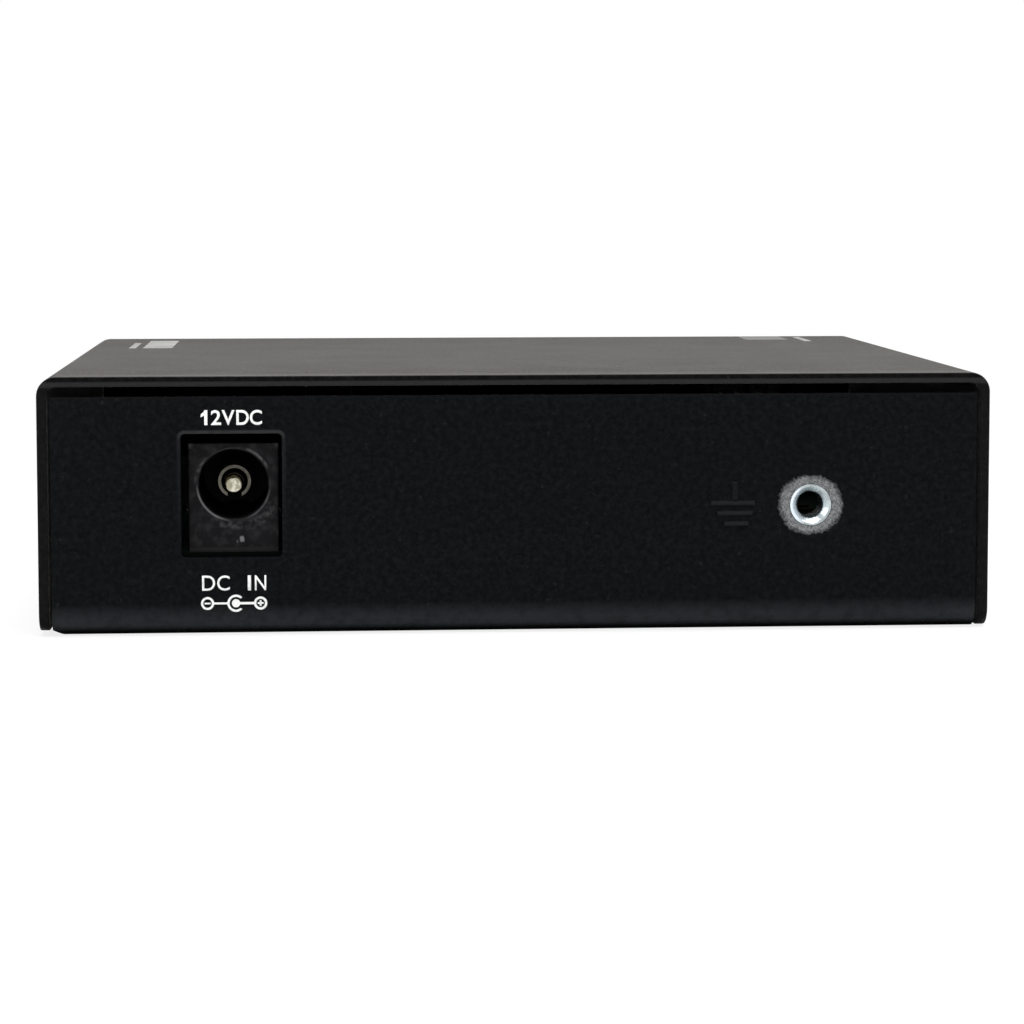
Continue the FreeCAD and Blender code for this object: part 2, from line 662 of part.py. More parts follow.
def make_case_screws():
    """Countersunk screws through the cover sides into the tray's flanges."""
    body = new_body("case_screws")
    shank = "Sizes.screw_size / 2"
    head = "Sizes.screw_head / 2"
    profile = new_sketch(body, "XY_Plane", "Sizes.screw_level", HALF_WIDTH)
    outline(profile, [
        ("0", "0"),
        ("0", head),
        (f"-({head} - {shank})", shank),
        ("-Sizes.screw_length", shank),
        ("-Sizes.screw_length", "0"),
    ])
    revolve(body, profile)
    recess = new_sketch(body, "YZ_Plane", HALF_WIDTH, "0", "Sizes.screw_level")
    half = "Sizes.cross_width / 2"
    reach = "Sizes.cross_span / 2"
    outline(recess, [
        (half, reach), (half, half), (reach, half), (reach, f"-{half}"),
        (half, f"-{half}"), (half, f"-{reach}"), (f"-{half}", f"-{reach}"), (f"-{half}", f"-{half}"),
        (f"-{reach}", f"-{half}"), (f"-{reach}", half), (f"-{half}", half), (f"-{half}", reach),
    ])
    pocket(body, recess, "Sizes.cross_depth")
    mirror(body, "YZ_Plane")
    return body


# ---------------------------------------------------------------- board and its fixings

def make_standoffs():
    """Hexagonal standoffs on the tray's floor: two tapped ones by the jack, two plain ones by the ports."""
    body = new_body("board_standoffs")
    corner = "Sizes.standoff_flats / sqrt(3)"
    corners = []
    for step in range(6):
        corners.append((f"{corner} * cos({60 * step} deg)", f"{corner} * sin({60 * step} deg)"))
    for end in ("", "-"):
        plan = new_sketch(body, "XY_Plane", "Sizes.sheet", FIXING_X, f"{end}{FIXING_Y}")
        outline(plan, corners)
        pad(body, plan, "Sizes.standoff_height")
    thread = new_sketch(body, "XY_Plane", "Sizes.sheet + Sizes.standoff_height")
    circle(thread, FIXING_X, f"-{FIXING_Y}", TAPPED_RADIUS)
    pocket(body, thread, "Sizes.thread_depth")
    mirror(body, "YZ_Plane")
    return body


def make_board_screws():
    """Pan head screws that hold the board on the tapped standoffs."""
    body = new_body("board_screws")
    shank = "Sizes.screw_size / 2"
    head = "Sizes.pan_head / 2"
    profile = new_sketch(body, "XZ_Plane", FIXING_Y, FIXING_X, BOARD_TOP)
    outline(profile, [
        ("0", "-Sizes.pan_shank"),
        (shank, "-Sizes.pan_shank"),
        (shank, "0"),
        (head, "0"),
        (head, "Sizes.pan_height"),
        ("0", "Sizes.pan_height"),
    ])
    revolve(body, profile, "V_Axis")
    mirror(body, "YZ_Plane")
    return body


def make_board():
    """Circuit board with two screw holes and square or oblong lead holes."""
    body = new_body("main_board")
    plan = new_sketch(body, "XY_Plane")
    rectangle(plan, f"-{BOARD_HALF_X}", f"-{BOARD_HALF_Y}", BOARD_HALF_X, BOARD_HALF_Y)
    pad(body, plan, "Sizes.board_thick")
    holes = new_sketch(body, "XY_Plane")
    for side in ("", "-"):
        circle(holes, f"{side}{FIXING_X}", f"-{FIXING_Y}", PLAIN_RADIUS)
    slip = "2 * Sizes.solder_slip"
    jack = [
        (JACK_TAIL, "Sizes.terminal_width", "Sizes.strip"),
        (JACK_SPRING, "Sizes.terminal_width", "Sizes.strip"),
    ]
    for deep, width, thick in jack:
        centred(holes, JACK_X, f"({JACK_FACE} + {deep})", f"({width} + {slip})", f"({thick} + {slip})")
    centred(
        holes, f"({JACK_X} - {JACK_SIDE})", f"({JACK_FACE} + {JACK_SIDE_AT})",
        f"(Sizes.strip + {slip})", f"(Sizes.terminal_width + {slip})",
    )
    for post in (-1, 1):
        centred(
            holes, f"({FIBRE_X} + {post} * Sizes.post_pitch / 2)", f"({PORT_FACE} - {POST_AT})",
            f"(Sizes.post_gauge + {slip})", f"(Sizes.post_gauge + {slip})",
        )
    pocket(body, holes, "Sizes.board_thick", reverse=True)
    lead = new_sketch(body, "XY_Plane")
    first = f"({FIBRE_X} - Sizes.signal_pitch * (Sizes.signal_count - 1) / 2)"
    hole = f"(Sizes.pin_gauge + {slip})"
    centred(lead, first, f"({PORT_FACE} - {PINS_AT})", hole, hole)
    cut = pocket(body, lead, "Sizes.board_thick", reverse=True)
    row_of(body, "X_Axis", "Sizes.signal_pitch", "Sizes.signal_count", [cut])
    place(body, z="Sizes.sheet + Sizes.standoff_height")
    return body


# ---------------------------------------------------------------- DC jack

def place_jack(body):
    place(body, JACK_X, JACK_FACE, BOARD_TOP)


def make_jack_housing():
    """Moulded jack: square front block, slimmer rear body, chamfered socket, slot for the spring."""
    body = new_body("dc_jack_housing")
    brow = new_sketch(body, "XZ_Plane")
    rectangle(brow, "-Sizes.jack_width / 2", "0", "Sizes.jack_width / 2", "Sizes.jack_height")
    pad(body, brow, "Sizes.jack_brow", reverse=True)
    rear = new_sketch(body, "XZ_Plane")
    waist = "(Sizes.jack_width / 2 - Sizes.jack_waist)"
    rectangle(rear, f"-{waist}", "0", waist, "Sizes.jack_height - Sizes.jack_waist")
    pad(body, rear, "Sizes.jack_length", reverse=True)
    dress(
        body, "Chamfer",
        lambda edge, at: along(edge, Y_WAY) and at.z > number("socket_level") and at.y > number("jack_brow"),
        "Sizes.jack_shoulder",
    )
    socket = new_sketch(body, "XZ_Plane")
    circle(socket, "0", "Sizes.socket_level", "Sizes.socket_bore / 2")
    pocket(body, socket, "Sizes.socket_depth")
    dress(
        body, "Chamfer",
        lambda edge, at: near(at.y, 0) and edge.Curve.TypeId == "Part::GeomCircle",
        "Sizes.socket_chamfer",
    )
    root = new_sketch(body, "XZ_Plane")
    circle(root, "0", "Sizes.socket_level", "Sizes.pin_diameter / 2 + Sizes.rivet_slip")
    pocket(body, root, "Sizes.jack_length")
    slot = new_sketch(body, "XY_Plane")
    half = "(Sizes.terminal_width / 2 + Sizes.solder_slip)"
    rectangle(
        slot, f"-{half}", f"{JACK_SPRING} - Sizes.strip / 2 - Sizes.solder_slip",
        half, "Sizes.socket_depth",
    )
    pocket(body, slot, "Sizes.socket_level - Sizes.collar_outer / 2 - Sizes.solder_slip", reverse=True)
    place_jack(body)
    return body


def make_jack_pin():
    """Turned centre pin with a chamfered tip."""
    body = new_body("dc_jack_pin")
    profile = new_sketch(body, "XY_Plane", "Sizes.socket_level")
    radius = "Sizes.pin_diameter / 2"
    outline(profile, [
        ("0", "Sizes.pin_recess"),
        (f"{radius} - Sizes.pin_tip", "Sizes.pin_recess"),
        (radius, "Sizes.pin_recess + Sizes.pin_tip"),
        (radius, "Sizes.jack_length"),
        ("0", "Sizes.jack_length"),
    ])
    revolve(body, profile, "V_Axis")
    place_jack(body)
    return body


def make_jack_collar():
    """Sheet collar rolled round the pin's root, with its seam open at the bottom."""
    body = new_body("dc_jack_collar")
    ring = new_sketch(body, "XZ_Plane", "-Sizes.collar_recess")
    circle(ring, "0", "Sizes.socket_level", "Sizes.collar_outer / 2")
    circle(ring, "0", "Sizes.socket_level", "Sizes.collar_outer / 2 - Sizes.collar_wall")
    pad(body, ring, "Sizes.socket_depth - Sizes.collar_recess", reverse=True)
    seam = new_sketch(body, "XZ_Plane")
    rectangle(
        seam, "-Sizes.collar_seam / 2", "Sizes.socket_level - Sizes.collar_outer",
        "Sizes.collar_seam / 2", "Sizes.socket_level",
    )
    pocket(body, seam, "Sizes.socket_depth + Sizes.collar_wall")
    place_jack(body)
    return body


def make_jack_spring():
    """Leaf contact: a leg through the board and a blade that rises into the socket."""
    body = new_body("dc_jack_spring")
    blade = new_sketch(body, "YZ_Plane")
    front = f"({JACK_SPRING} - Sizes.strip / 2)"
    back = f"({JACK_SPRING} + Sizes.strip / 2)"
    end = "(Sizes.socket_depth - Sizes.solder_slip)"
    bottom = "(Sizes.socket_level - Sizes.socket_bore / 2)"
    outline(blade, [
        (front, "-Sizes.terminal_drop"),
        (back, "-Sizes.terminal_drop"),
        (back, f"{bottom} - 2 * Sizes.strip"),
        (end, f"{bottom} + Sizes.strip"),
        (end, f"{bottom} + 2 * Sizes.strip"),
        (front, f"{bottom} - Sizes.strip"),
    ])
    pad(body, blade, "Sizes.terminal_width", symmetric=True)
    place_jack(body)
    return body


def make_jack_tail():
    """Terminal plate against the pin's tail, with a leg through the board."""
    body = new_body("dc_jack_tail")
    plate = new_sketch(body, "XZ_Plane", "-Sizes.jack_length")
    half = "Sizes.terminal_width / 2"
    rectangle(plate, f"-{half}", "-Sizes.terminal_drop", half, f"Sizes.socket_level + {half}")
    pad(body, plate, "Sizes.strip", reverse=True)
    place_jack(body)
    return body


def make_jack_lug():
    """Switch terminal against the side of the jack's rear body."""
    body = new_body("dc_jack_lug")
    plate = new_sketch(body, "YZ_Plane", f"-({JACK_SIDE} - Sizes.strip / 2)")
    half = "Sizes.terminal_width / 2"
    rectangle(
        plate, f"{JACK_SIDE_AT} - {half}", "-Sizes.terminal_drop",
        f"{JACK_SIDE_AT} + {half}", "Sizes.socket_level",
    )
    pad(body, plate, "Sizes.strip", reverse=True)
    place_jack(body)
    return body


# ---------------------------------------------------------------- copper port

def place_copper(body):
    place(body, COPPER_X, PORT_FACE, BOARD_TOP)


def plug_window(sketch, slip):
    """Plug cavity with its latch notch, as one outline, widened by a slip."""
    half = f"(Sizes.plug_width / 2 + {slip})"
    notch = f"(Sizes.latch_width / 2 + {slip})"
    floor = f"(Sizes.plug_level - {slip})"
    outline(sketch, [
        (f"-{half}", floor),
        (f"-{notch}", floor),
        (f"-{notch}", f"{floor} - Sizes.latch_height"),
        (notch, f"{floor} - Sizes.latch_height"),
        (notch, floor),
        (half, floor),
        (half, f"Sizes.plug_level + Sizes.plug_height + {slip}"),
        (f"-{half}", f"Sizes.plug_level + Sizes.plug_height + {slip}"),
    ])


def make_copper_shell():
    """Thin steel shell of the copper port, open underneath, with a rim behind the wall."""
    body = new_body("copper_port_shell")
    block = new_sketch(body, "XZ_Plane")
    rectangle(block, "-Sizes.copper_width / 2", "0", "Sizes.copper_width / 2", "Sizes.copper_height")
    pad(body, block, "Sizes.copper_length")
    dress(
        body, "Fillet",
        lambda edge, at: along(edge, Y_WAY) and near(at.z, number("copper_height")),
        "2 * Sizes.shell_gauge",
    )
    rim = new_sketch(body, "XZ_Plane", "Sizes.shoulder_depth")
    half = "(Sizes.copper_width / 2 + Sizes.port_shoulder)"
    rectangle(rim, f"-{half}", "0", half, "Sizes.copper_height + Sizes.port_shoulder")
    pad(body, rim, "Sizes.shell_gauge")
    inside = new_sketch(body, "XY_Plane")
    half = "(Sizes.copper_width / 2 - Sizes.shell_gauge)"
    rectangle(
        inside, f"-{half}", "-(Sizes.copper_length - Sizes.shell_gauge)", half, "-Sizes.shell_gauge",
    )
    pocket(body, inside, "Sizes.copper_height - Sizes.shell_gauge", reverse=True)
    window = new_sketch(body, "XZ_Plane")
    plug_window(window, "Sizes.shell_gauge")
    pocket(body, window, "2 * Sizes.shell_gauge", reverse=True)
    place_copper(body)
    return body


def make_copper_housing():
    """Moulded insert of the copper port: plug cavity, latch notch and a channel for the wires."""
    body = new_body("copper_port_housing")
    slip = "2 * Sizes.shell_gauge"
    block = new_sketch(body, "XZ_Plane", "Sizes.shell_gauge")
    half = f"(Sizes.copper_width / 2 - {slip})"
    rectangle(block, f"-{half}", "0", half, f"Sizes.copper_height - {slip}")
    pad(body, block, "Sizes.copper_length - 3 * Sizes.shell_gauge")
    cavity = new_sketch(body, "XZ_Plane")
    plug_window(cavity, "0")
    pocket(body, cavity, "Sizes.plug_depth", reverse=True)
    channel = new_sketch(body, "YZ_Plane")
    roof = "(Sizes.plug_level + Sizes.plug_height)"
    back = f"({WIRES_AT} + Sizes.wire_width)"
    front = f"({WIRES_AT} - Sizes.wire_width)"
    outline(channel, [
        (f"-{back}", "0"),
        (f"-{front}", "0"),
        (f"-{front}", f"{roof} - Sizes.wire_width"),
        ("-(Sizes.wire_front - Sizes.wire_width)", f"{roof} - Sizes.wire_width"),
        ("-(Sizes.wire_front - Sizes.wire_width)", f"{roof} + 2 * Sizes.wire_width"),
        (f"-{back}", f"{roof} + 2 * Sizes.wire_width"),
    ])
    pocket(body, channel, "Sizes.wire_pitch * Sizes.wire_count", symmetric=True)
    place_copper(body)
    return body


def make_copper_wires():
    """Sprung contact wires: up from the board, over the cavity and down into it."""
    body = new_body("copper_port_contacts")
    first = "-Sizes.wire_pitch * (Sizes.wire_count - 1) / 2"
    wire = new_sketch(body, "YZ_Plane", first)
    roof = "(Sizes.plug_level + Sizes.plug_height)"
    half = "Sizes.wire_width / 2"
    low = f"{roof} + {half}"
    high = f"{roof} + 3 * {half}"
    tip = "-Sizes.wire_tip"
    outline(wire, [
        (f"-({WIRES_AT} + {half})", "0"),
        (f"-({WIRES_AT} - {half})", "0"),
        (f"-({WIRES_AT} - {half})", low),
        ("-(Sizes.wire_front + 2 * Sizes.wire_width)", low),
        (tip, f"{roof} - Sizes.wire_hang"),
        (f"{tip} + Sizes.wire_width", f"{roof} - Sizes.wire_hang - {half}"),
        ("-Sizes.wire_front", f"{low} - {half}"),
        ("-Sizes.wire_front", high),
        (f"-({WIRES_AT} + {half})", high),
    ])
    pad(body, wire, "Sizes.wire_width", symmetric=True)
    row_of(body, "X_Axis", "Sizes.wire_pitch", "Sizes.wire_count")
    place_copper(body)
    return body


# ---------------------------------------------------------------- fibre port

def place_fibre(body):
    place(body, FIBRE_X, PORT_FACE, BOARD_TOP)


def make_fibre_housing():
    """Duplex fibre receptacle: nose and shoulder, two keyed sockets, lower rear housing, bores."""
    body = new_body("fibre_port_housing")
    nose = new_sketch(body, "XZ_Plane")
    rectangle(nose, "-Sizes.fibre_width / 2", "0", "Sizes.fibre_width / 2", "Sizes.fibre_height")
    pad(body, nose, "Sizes.fibre_nose")
    shoulder = new_sketch(body, "XZ_Plane", "Sizes.shoulder_depth")
    half = "(Sizes.fibre_width / 2 + Sizes.port_shoulder)"
    rectangle(shoulder, f"-{half}", "0", half, "Sizes.fibre_height + Sizes.port_shoulder")
    pad(body, shoulder, "Sizes.fibre_nose - Sizes.shoulder_depth")
    rear = new_sketch(body, "XZ_Plane")
    rectangle(rear, "-Sizes.fibre_width / 2", "0", "Sizes.fibre_width / 2", "Sizes.fibre_rear")
    pad(body, rear, "Sizes.fibre_length")
    dress(
        body, "Chamfer",
        lambda edge, at: along(edge, Y_WAY) and at.z > number("fibre_rear") - MARGIN,
        "Sizes.window_corner",
    )
    socket = new_sketch(body, "XZ_Plane")
    half = "Sizes.socket_width / 2"
    key = "Sizes.key_width / 2"
    high = "Sizes.socket_floor + Sizes.socket_height"
    centre = "Sizes.fibre_pitch / 2"
    outline(socket, [
        (f"{centre} - {half}", "Sizes.socket_floor"),
        (f"{centre} + {half}", "Sizes.socket_floor"),
        (f"{centre} + {half}", high),
        (f"{centre} + {key}", high),
        (f"{centre} + {key}", f"{high} + Sizes.key_height"),
        (f"{centre} - {key}", f"{high} + Sizes.key_height"),
        (f"{centre} - {key}", high),
        (f"{centre} - {half}", high),
    ])
    cavity = pocket(body, socket, "Sizes.socket_reach", reverse=True)
    bore = new_sketch(body, "XZ_Plane", "Sizes.socket_reach")
    circle(bore, centre, FIBRE_AXIS, "Sizes.barrel_diameter / 2 + Sizes.rivet_slip")
    seat = pocket(body, bore, BARREL_LENGTH, reverse=True)
    mirror(body, "YZ_Plane", [cavity, seat])
    place_fibre(body)
    return body


def make_fibre_barrels():
    """Optical barrels: steel cans behind the ceramic sleeves."""
    body = new_body("fibre_barrels")
    can = new_sketch(body, "XZ_Plane", "Sizes.socket_reach")
    circle(can, "Sizes.fibre_pitch / 2", FIBRE_AXIS, "Sizes.barrel_diameter / 2")
    pad(body, can, BARREL_LENGTH)
    mirror(body, "YZ_Plane")
    place_fibre(body)
    return body


def make_fibre_sleeves():
    """Split ceramic sleeves that line up the fibre ferrules."""
    body = new_body("fibre_sleeves")
    tube = new_sketch(body, "XZ_Plane", "Sizes.socket_reach - Sizes.sleeve_reach")
    circle(tube, "Sizes.fibre_pitch / 2", FIBRE_AXIS, "Sizes.sleeve_diameter / 2")
    circle(tube, "Sizes.fibre_pitch / 2", FIBRE_AXIS, "Sizes.ferrule_bore / 2")
    pad(body, tube, "Sizes.sleeve_reach")
    slit = new_sketch(body, "XZ_Plane")
    centred(
        slit, "Sizes.fibre_pitch / 2", f"({FIBRE_AXIS} + Sizes.sleeve_diameter / 2)",
        "Sizes.sleeve_slit", "Sizes.ferrule_bore / 2",
    )
    pocket(body, slit, "2 * Sizes.socket_reach", reverse=True)
    mirror(body, "YZ_Plane")
    place_fibre(body)
    return body


def make_fibre_latches():
    """Moulded latch inserts: a back plate with two hooked arms in each fibre socket."""
    body = new_body("fibre_latches")
    plan = new_sketch(body, "XY_Plane", f"{FIBRE_AXIS} - Sizes.arm_height / 2", "Sizes.fibre_pitch / 2")
    back = "(Sizes.socket_reach - Sizes.rivet_slip)"
    wide = "(Sizes.socket_width / 2 - Sizes.solder_slip)"
    arm = f"({wide} - Sizes.arm_gauge)"
    inner = f"-({back} - Sizes.arm_gauge)"
    front = f"-({back} - Sizes.arm_gauge - Sizes.arm_length)"
    hook = f"({arm} - Sizes.arm_hook)"
    outline(plan, [
        (f"-{wide}", f"-{back}"),
        (wide, f"-{back}"),
        (wide, front),
        (arm, front),
        (hook, f"{front} - Sizes.arm_gauge"),
        (arm, f"{front} - 2 * Sizes.arm_gauge"),
        (arm, inner),
        (f"-{arm}", inner),
        (f"-{arm}", f"{front} - 2 * Sizes.arm_gauge"),
        (f"-{hook}", f"{front} - Sizes.arm_gauge"),
        (f"-{arm}", front),
        (f"-{wide}", front),
    ])
    pad(body, plan, "Sizes.arm_height")
    hole = new_sketch(body, "XZ_Plane")
    gap = "(Sizes.sleeve_diameter + Sizes.solder_slip)"
    centred(hole, "Sizes.fibre_pitch / 2", FIBRE_AXIS, gap, gap)
    pocket(body, hole, "2 * Sizes.socket_reach", reverse=True)
    mirror(body, "YZ_Plane")
    place_fibre(body)
    return body


def make_fibre_pins():
    """Signal pins in one row at the rear and two square posts near the front."""
    body = new_body("fibre_port_pins")
    first = "-Sizes.signal_pitch * (Sizes.signal_count - 1) / 2"
    pin = new_sketch(body, "XY_Plane")
    centred(pin, first, f"-{PINS_AT}", "Sizes.pin_gauge", "Sizes.pin_gauge")
    signal = pad(body, pin, "Sizes.terminal_drop", reverse=True)
    row_of(body, "X_Axis", "Sizes.signal_pitch", "Sizes.signal_count", [signal])
    post = new_sketch(body, "XY_Plane")
    for side in (-1, 1):
        across = f"{side} * Sizes.post_pitch / 2"
        centred(post, across, f"-{POST_AT}", "Sizes.post_gauge", "Sizes.post_gauge")
    pad(body, post, "Sizes.terminal_drop", reverse=True)
    place_fibre(body)
    return body


# ---------------------------------------------------------------- lamps

def place_lamps(body):
    place(body, LAMP_X, f"{HALF_DEPTH} - Sizes.sheet - Sizes.port_gap", BOARD_TOP)


def lamp_array(body):
    """Two columns of lamps, in rows, from the lowest lamp of the left column."""
    row_of(body, "Z_Axis", "Sizes.lamp_spacing_z", f"{LAMP_ROWS}")
    return row_of(body, "X_Axis", "Sizes.lamp_spacing_x", "2")


def make_lamp_holder():
    """Black holder block that carries the lamps behind the wall."""
    body = new_body("lamp_holder")
    block = new_sketch(body, "XZ_Plane")
    half = "(Sizes.lamp_spacing_x / 2 + Sizes.holder_margin + Sizes.lamp_flange)"
    highest = f"Sizes.lamp_low + Sizes.lamp_spacing_z * {LAMP_ROWS - 1}"
    top = f"{highest} + Sizes.holder_margin + Sizes.lamp_flange"
    rectangle(block, f"-{half}", "0", half, top)
    pad(body, block, "Sizes.holder_length")
    seat = new_sketch(body, "XZ_Plane")
    spread = "2 * (Sizes.lamp_flange + Sizes.rivet_slip)"
    for column in (-1, 1):
        for level in range(LAMP_ROWS):
            centred(
                seat, f"{column} * Sizes.lamp_spacing_x / 2",
                f"(Sizes.lamp_low + {level} * Sizes.lamp_spacing_z)",
                f"(Sizes.lamp_width + {spread})", f"(Sizes.lamp_height + {spread})",
            )
    pocket(body, seat, "Sizes.holder_length", reverse=True)
    place_lamps(body)
    return body


def make_lamp_lenses():
    """Lamp lenses: wider root in the holder, oblong nose through the wall."""
    body = new_body("lamp_lenses")
    root = new_sketch(body, "XZ_Plane", "0", "-Sizes.lamp_spacing_x / 2", "Sizes.lamp_low")
    spread = "2 * Sizes.lamp_flange"
    centred(root, "0", "0", f"(Sizes.lamp_width + {spread})", f"(Sizes.lamp_height + {spread})")
    pad(body, root, "Sizes.holder_length")
    nose = new_sketch(body, "XZ_Plane", "0", "-Sizes.lamp_spacing_x / 2", "Sizes.lamp_low")
    centred(nose, "0", "0", "Sizes.lamp_width", "Sizes.lamp_height")
    pad(body, nose, "Sizes.sheet + Sizes.port_gap - Sizes.port_recess", reverse=True)
    dress(
        body, "Chamfer",
        lambda edge, at: at.y > number("sheet") and not along(edge, Y_WAY),
        "Sizes.lamp_gap",
    )
    lamp_array(body)
    place_lamps(body)
    return body


def make_lamp_leads():
    """Bent wire leads from each lamp down to the board."""
    body = new_body("lamp_leads")
    half = "Sizes.wire_width / 2"
    for level in range(LAMP_ROWS):
        for side in (-1, 1):
            lead = new_sketch(body, "YZ_Plane", f"-Sizes.lamp_spacing_x / 2 + {side} * Sizes.wire_pitch")
            axis = f"(Sizes.lamp_low + {level} * Sizes.lamp_spacing_z)"
            back = f"-(Sizes.holder_length + {level + 1} * Sizes.wire_pitch)"
            outline(lead, [
                ("-Sizes.holder_length", f"{axis} - {half}"),
                ("-Sizes.holder_length", f"{axis} + {half}"),
                (f"{back} - {half}", f"{axis} + {half}"),
                (f"{back} - {half}", "0"),
                (f"{back} + {half}", "0"),
                (f"{back} + {half}", f"{axis} - {half}"),
            ])
            pad(body, lead, "Sizes.wire_width", symmetric=True)
    row_of(body, "X_Axis", "Sizes.lamp_spacing_x", "2")
    place_lamps(body)
    return body


# ---------------------------------------------------------------- switches

def place_switch(body, x="0"):
    place(body, f"{SWITCH_X} + {x}", f"{HALF_DEPTH} - Sizes.switch_face", BOARD_TOP)


def make_switch_cover():
    """Switch bank's cover: face with one upright slot for each lever, hollow behind."""
    body = new_body("switch_cover")
    block = new_sketch(body, "XZ_Plane")
    rectangle(block, "-Sizes.switch_width / 2", "0", "Sizes.switch_width / 2", "Sizes.switch_height")
    pad(body, block, "Sizes.switch_shell")
    dress(
        body, "Chamfer",
        lambda edge, at: near(at.y, 0) and near(at.z, number("switch_height")),
        "Sizes.switch_chamfer",
    )
    inside = new_sketch(body, "XZ_Plane", "Sizes.switch_shell")
    half = "(Sizes.switch_width / 2 - Sizes.foot_gauge)"
    rectangle(
        inside, f"-{half}", "Sizes.lever_low - 2 * Sizes.foot_gauge",
        half, "Sizes.switch_height - Sizes.foot_gauge",
    )
    pocket(body, inside, "Sizes.switch_shell - Sizes.face_gauge")
    slot = new_sketch(body, "XZ_Plane")
    width = "(Sizes.lever_width + 2 * Sizes.lever_gap)"
    for lever in range(LEVERS):
        centre = f"({lever_offset(lever)})"
        rectangle(
            slot, f"{centre} - {width} / 2", "Sizes.lever_low",
            f"{centre} + {width} / 2",
            "Sizes.lever_low + Sizes.lever_height + Sizes.lever_travel + 2 * Sizes.lever_gap",
        )
    pocket(body, slot, "Sizes.switch_shell", reverse=True)
    place_switch(body)
    return body


def make_switch_base():
    """Switch bank's base with its row of terminals."""
    body = new_body("switch_base")
    block = new_sketch(body, "XZ_Plane", "Sizes.switch_shell")
    rectangle(block, "-Sizes.switch_width / 2", "0", "Sizes.switch_width / 2", "Sizes.switch_height")
    pad(body, block, "Sizes.switch_base")
    dress(
        body, "Chamfer",
        lambda edge, at: along(edge, X_WAY) and at.z > MARGIN and at.y < -number("switch_shell") - MARGIN,
        "Sizes.foot_gauge",
    )
    place_switch(body)
    return body


def make_switch_terminals():
    """Flat terminals behind the switch base, down to the board."""
    body = new_body("switch_terminals")
    first = f"({lever_offset(0)})"
    leg = new_sketch(body, "YZ_Plane", first)
    back = "(Sizes.switch_shell + Sizes.switch_base)"
    outline(leg, [
        (f"-{back}", "0"),
        (f"-({back} + Sizes.lever_pitch)", "0"),
        (f"-({back} + Sizes.lever_pitch)", "Sizes.strip"),
        (f"-({back} + Sizes.strip)", "Sizes.strip"),
        (f"-({back} + Sizes.strip)", "Sizes.lever_low"),
        (f"-{back}", "Sizes.lever_low"),
    ])
    pad(body, leg, "Sizes.pin_gauge", symmetric=True)
    row_of(body, "X_Axis", "Sizes.lever_pitch", f"{LEVERS}")
    place_switch(body)
    return body


def lever_offset(lever):
    """Place of a lever across the bank, from the bank's middle."""
    return f"Sizes.lever_pitch * {lever - (LEVERS - 1) / 2}"


def make_switch_lever(lever):
    """Sliding lever: a nub through the slot and a wider foot behind the face."""
    body = new_body(f"switch_lever_{lever + 1}")
    low = "(Sizes.lever_low + Sizes.lever_gap)"
    half = "Sizes.lever_width / 2"
    reach = f"({half} + Sizes.lever_foot)"
    front = "(Sizes.switch_face - Sizes.port_recess)"
    foot_face = "(Sizes.face_gauge + Sizes.lever_gap)"
    foot = new_sketch(body, "XZ_Plane", foot_face)
    rectangle(
        foot, f"-{reach}", f"{low} - Sizes.lever_foot",
        reach, f"{low} + Sizes.lever_height + Sizes.lever_foot",
    )
    pad(body, foot, "Sizes.foot_gauge")
    nub = new_sketch(body, "XZ_Plane", f"-{front}")
    rectangle(nub, f"-{half}", low, half, f"{low} + Sizes.lever_height")
    pad(body, nub, f"{front} + {foot_face}")
    dress(
        body, "Chamfer",
        lambda edge, at: along(edge, X_WAY) and at.y > MARGIN,
        "Sizes.lever_gap",
    )
    place_switch(body, lever_offset(lever))
    return body


# ---------------------------------------------------------------- parts on the board

def make_chip():
    """Controller body, a flat square with chamfered upper edges."""
    body = new_body("controller_chip")
    plan = new_sketch(body, "XY_Plane", "Sizes.lead_gauge")
    centred(plan, "0", "0", "Sizes.chip_size", "Sizes.chip_size")
    pad(body, plan, "Sizes.chip_height - Sizes.lead_gauge")
    dress(body, "Chamfer", lambda edge, at: near(at.z, number("chip_height")), "Sizes.lead_gauge")
    place(body, "Sizes.chip_x", "Sizes.chip_y", BOARD_TOP)
    return body


def make_chip_leads():
    """Bent leads along the controller's four sides."""
    body = new_body("controller_leads")
    first = "Sizes.lead_pitch * (Sizes.lead_count - 1) / 2"
    side = "Sizes.chip_size / 2"
    gauge = "Sizes.lead_gauge"
    lead = new_sketch(body, "XZ_Plane", first)
    outline(lead, [
        (side, f"Sizes.chip_height / 2 - {gauge}"),
        (f"{side} + Sizes.lead_width", "0"),
        (f"{side} + Sizes.lead_reach", "0"),
        (f"{side} + Sizes.lead_reach", gauge),
        (f"{side} + Sizes.lead_width + {gauge}", gauge),
        (side, f"Sizes.chip_height / 2 + {gauge}"),
    ])
    pad(body, lead, "Sizes.lead_width", symmetric=True)
    row_of(body, "Y_Axis", "Sizes.lead_pitch", "Sizes.lead_count")
    ring = body.newObject("PartDesign::PolarPattern", "controller_leads_ring")
    ring.Axis = (origin_feature(body, "Z_Axis"), [""])
    ring.TransformMode = "Whole shape"
    ring.Mode = "Extent"
    ring.Angle = 360
    ring.Occurrences = 4
    body.Tip = ring
    place(body, "Sizes.chip_x", "Sizes.chip_y", BOARD_TOP)
    return body


def place_magnetics(body):
    behind = "(Sizes.copper_length + Sizes.magnetics_gap + Sizes.magnetics_depth / 2)"
    place(body, COPPER_X, f"{PORT_FACE} - {behind}", BOARD_TOP)


def make_magnetics():
    """Moulded line transformer."""
    body = new_body("line_transformer")
    plan = new_sketch(body, "XY_Plane", "Sizes.strip")
    centred(plan, "0", "0", "Sizes.magnetics_width", "Sizes.magnetics_depth")
    pad(body, plan, "Sizes.magnetics_height - Sizes.strip")
    dress(
        body, "Chamfer",
        lambda edge, at: near(at.z, number("magnetics_height")),
        "Sizes.strip",
    )
    place_magnetics(body)
    return body


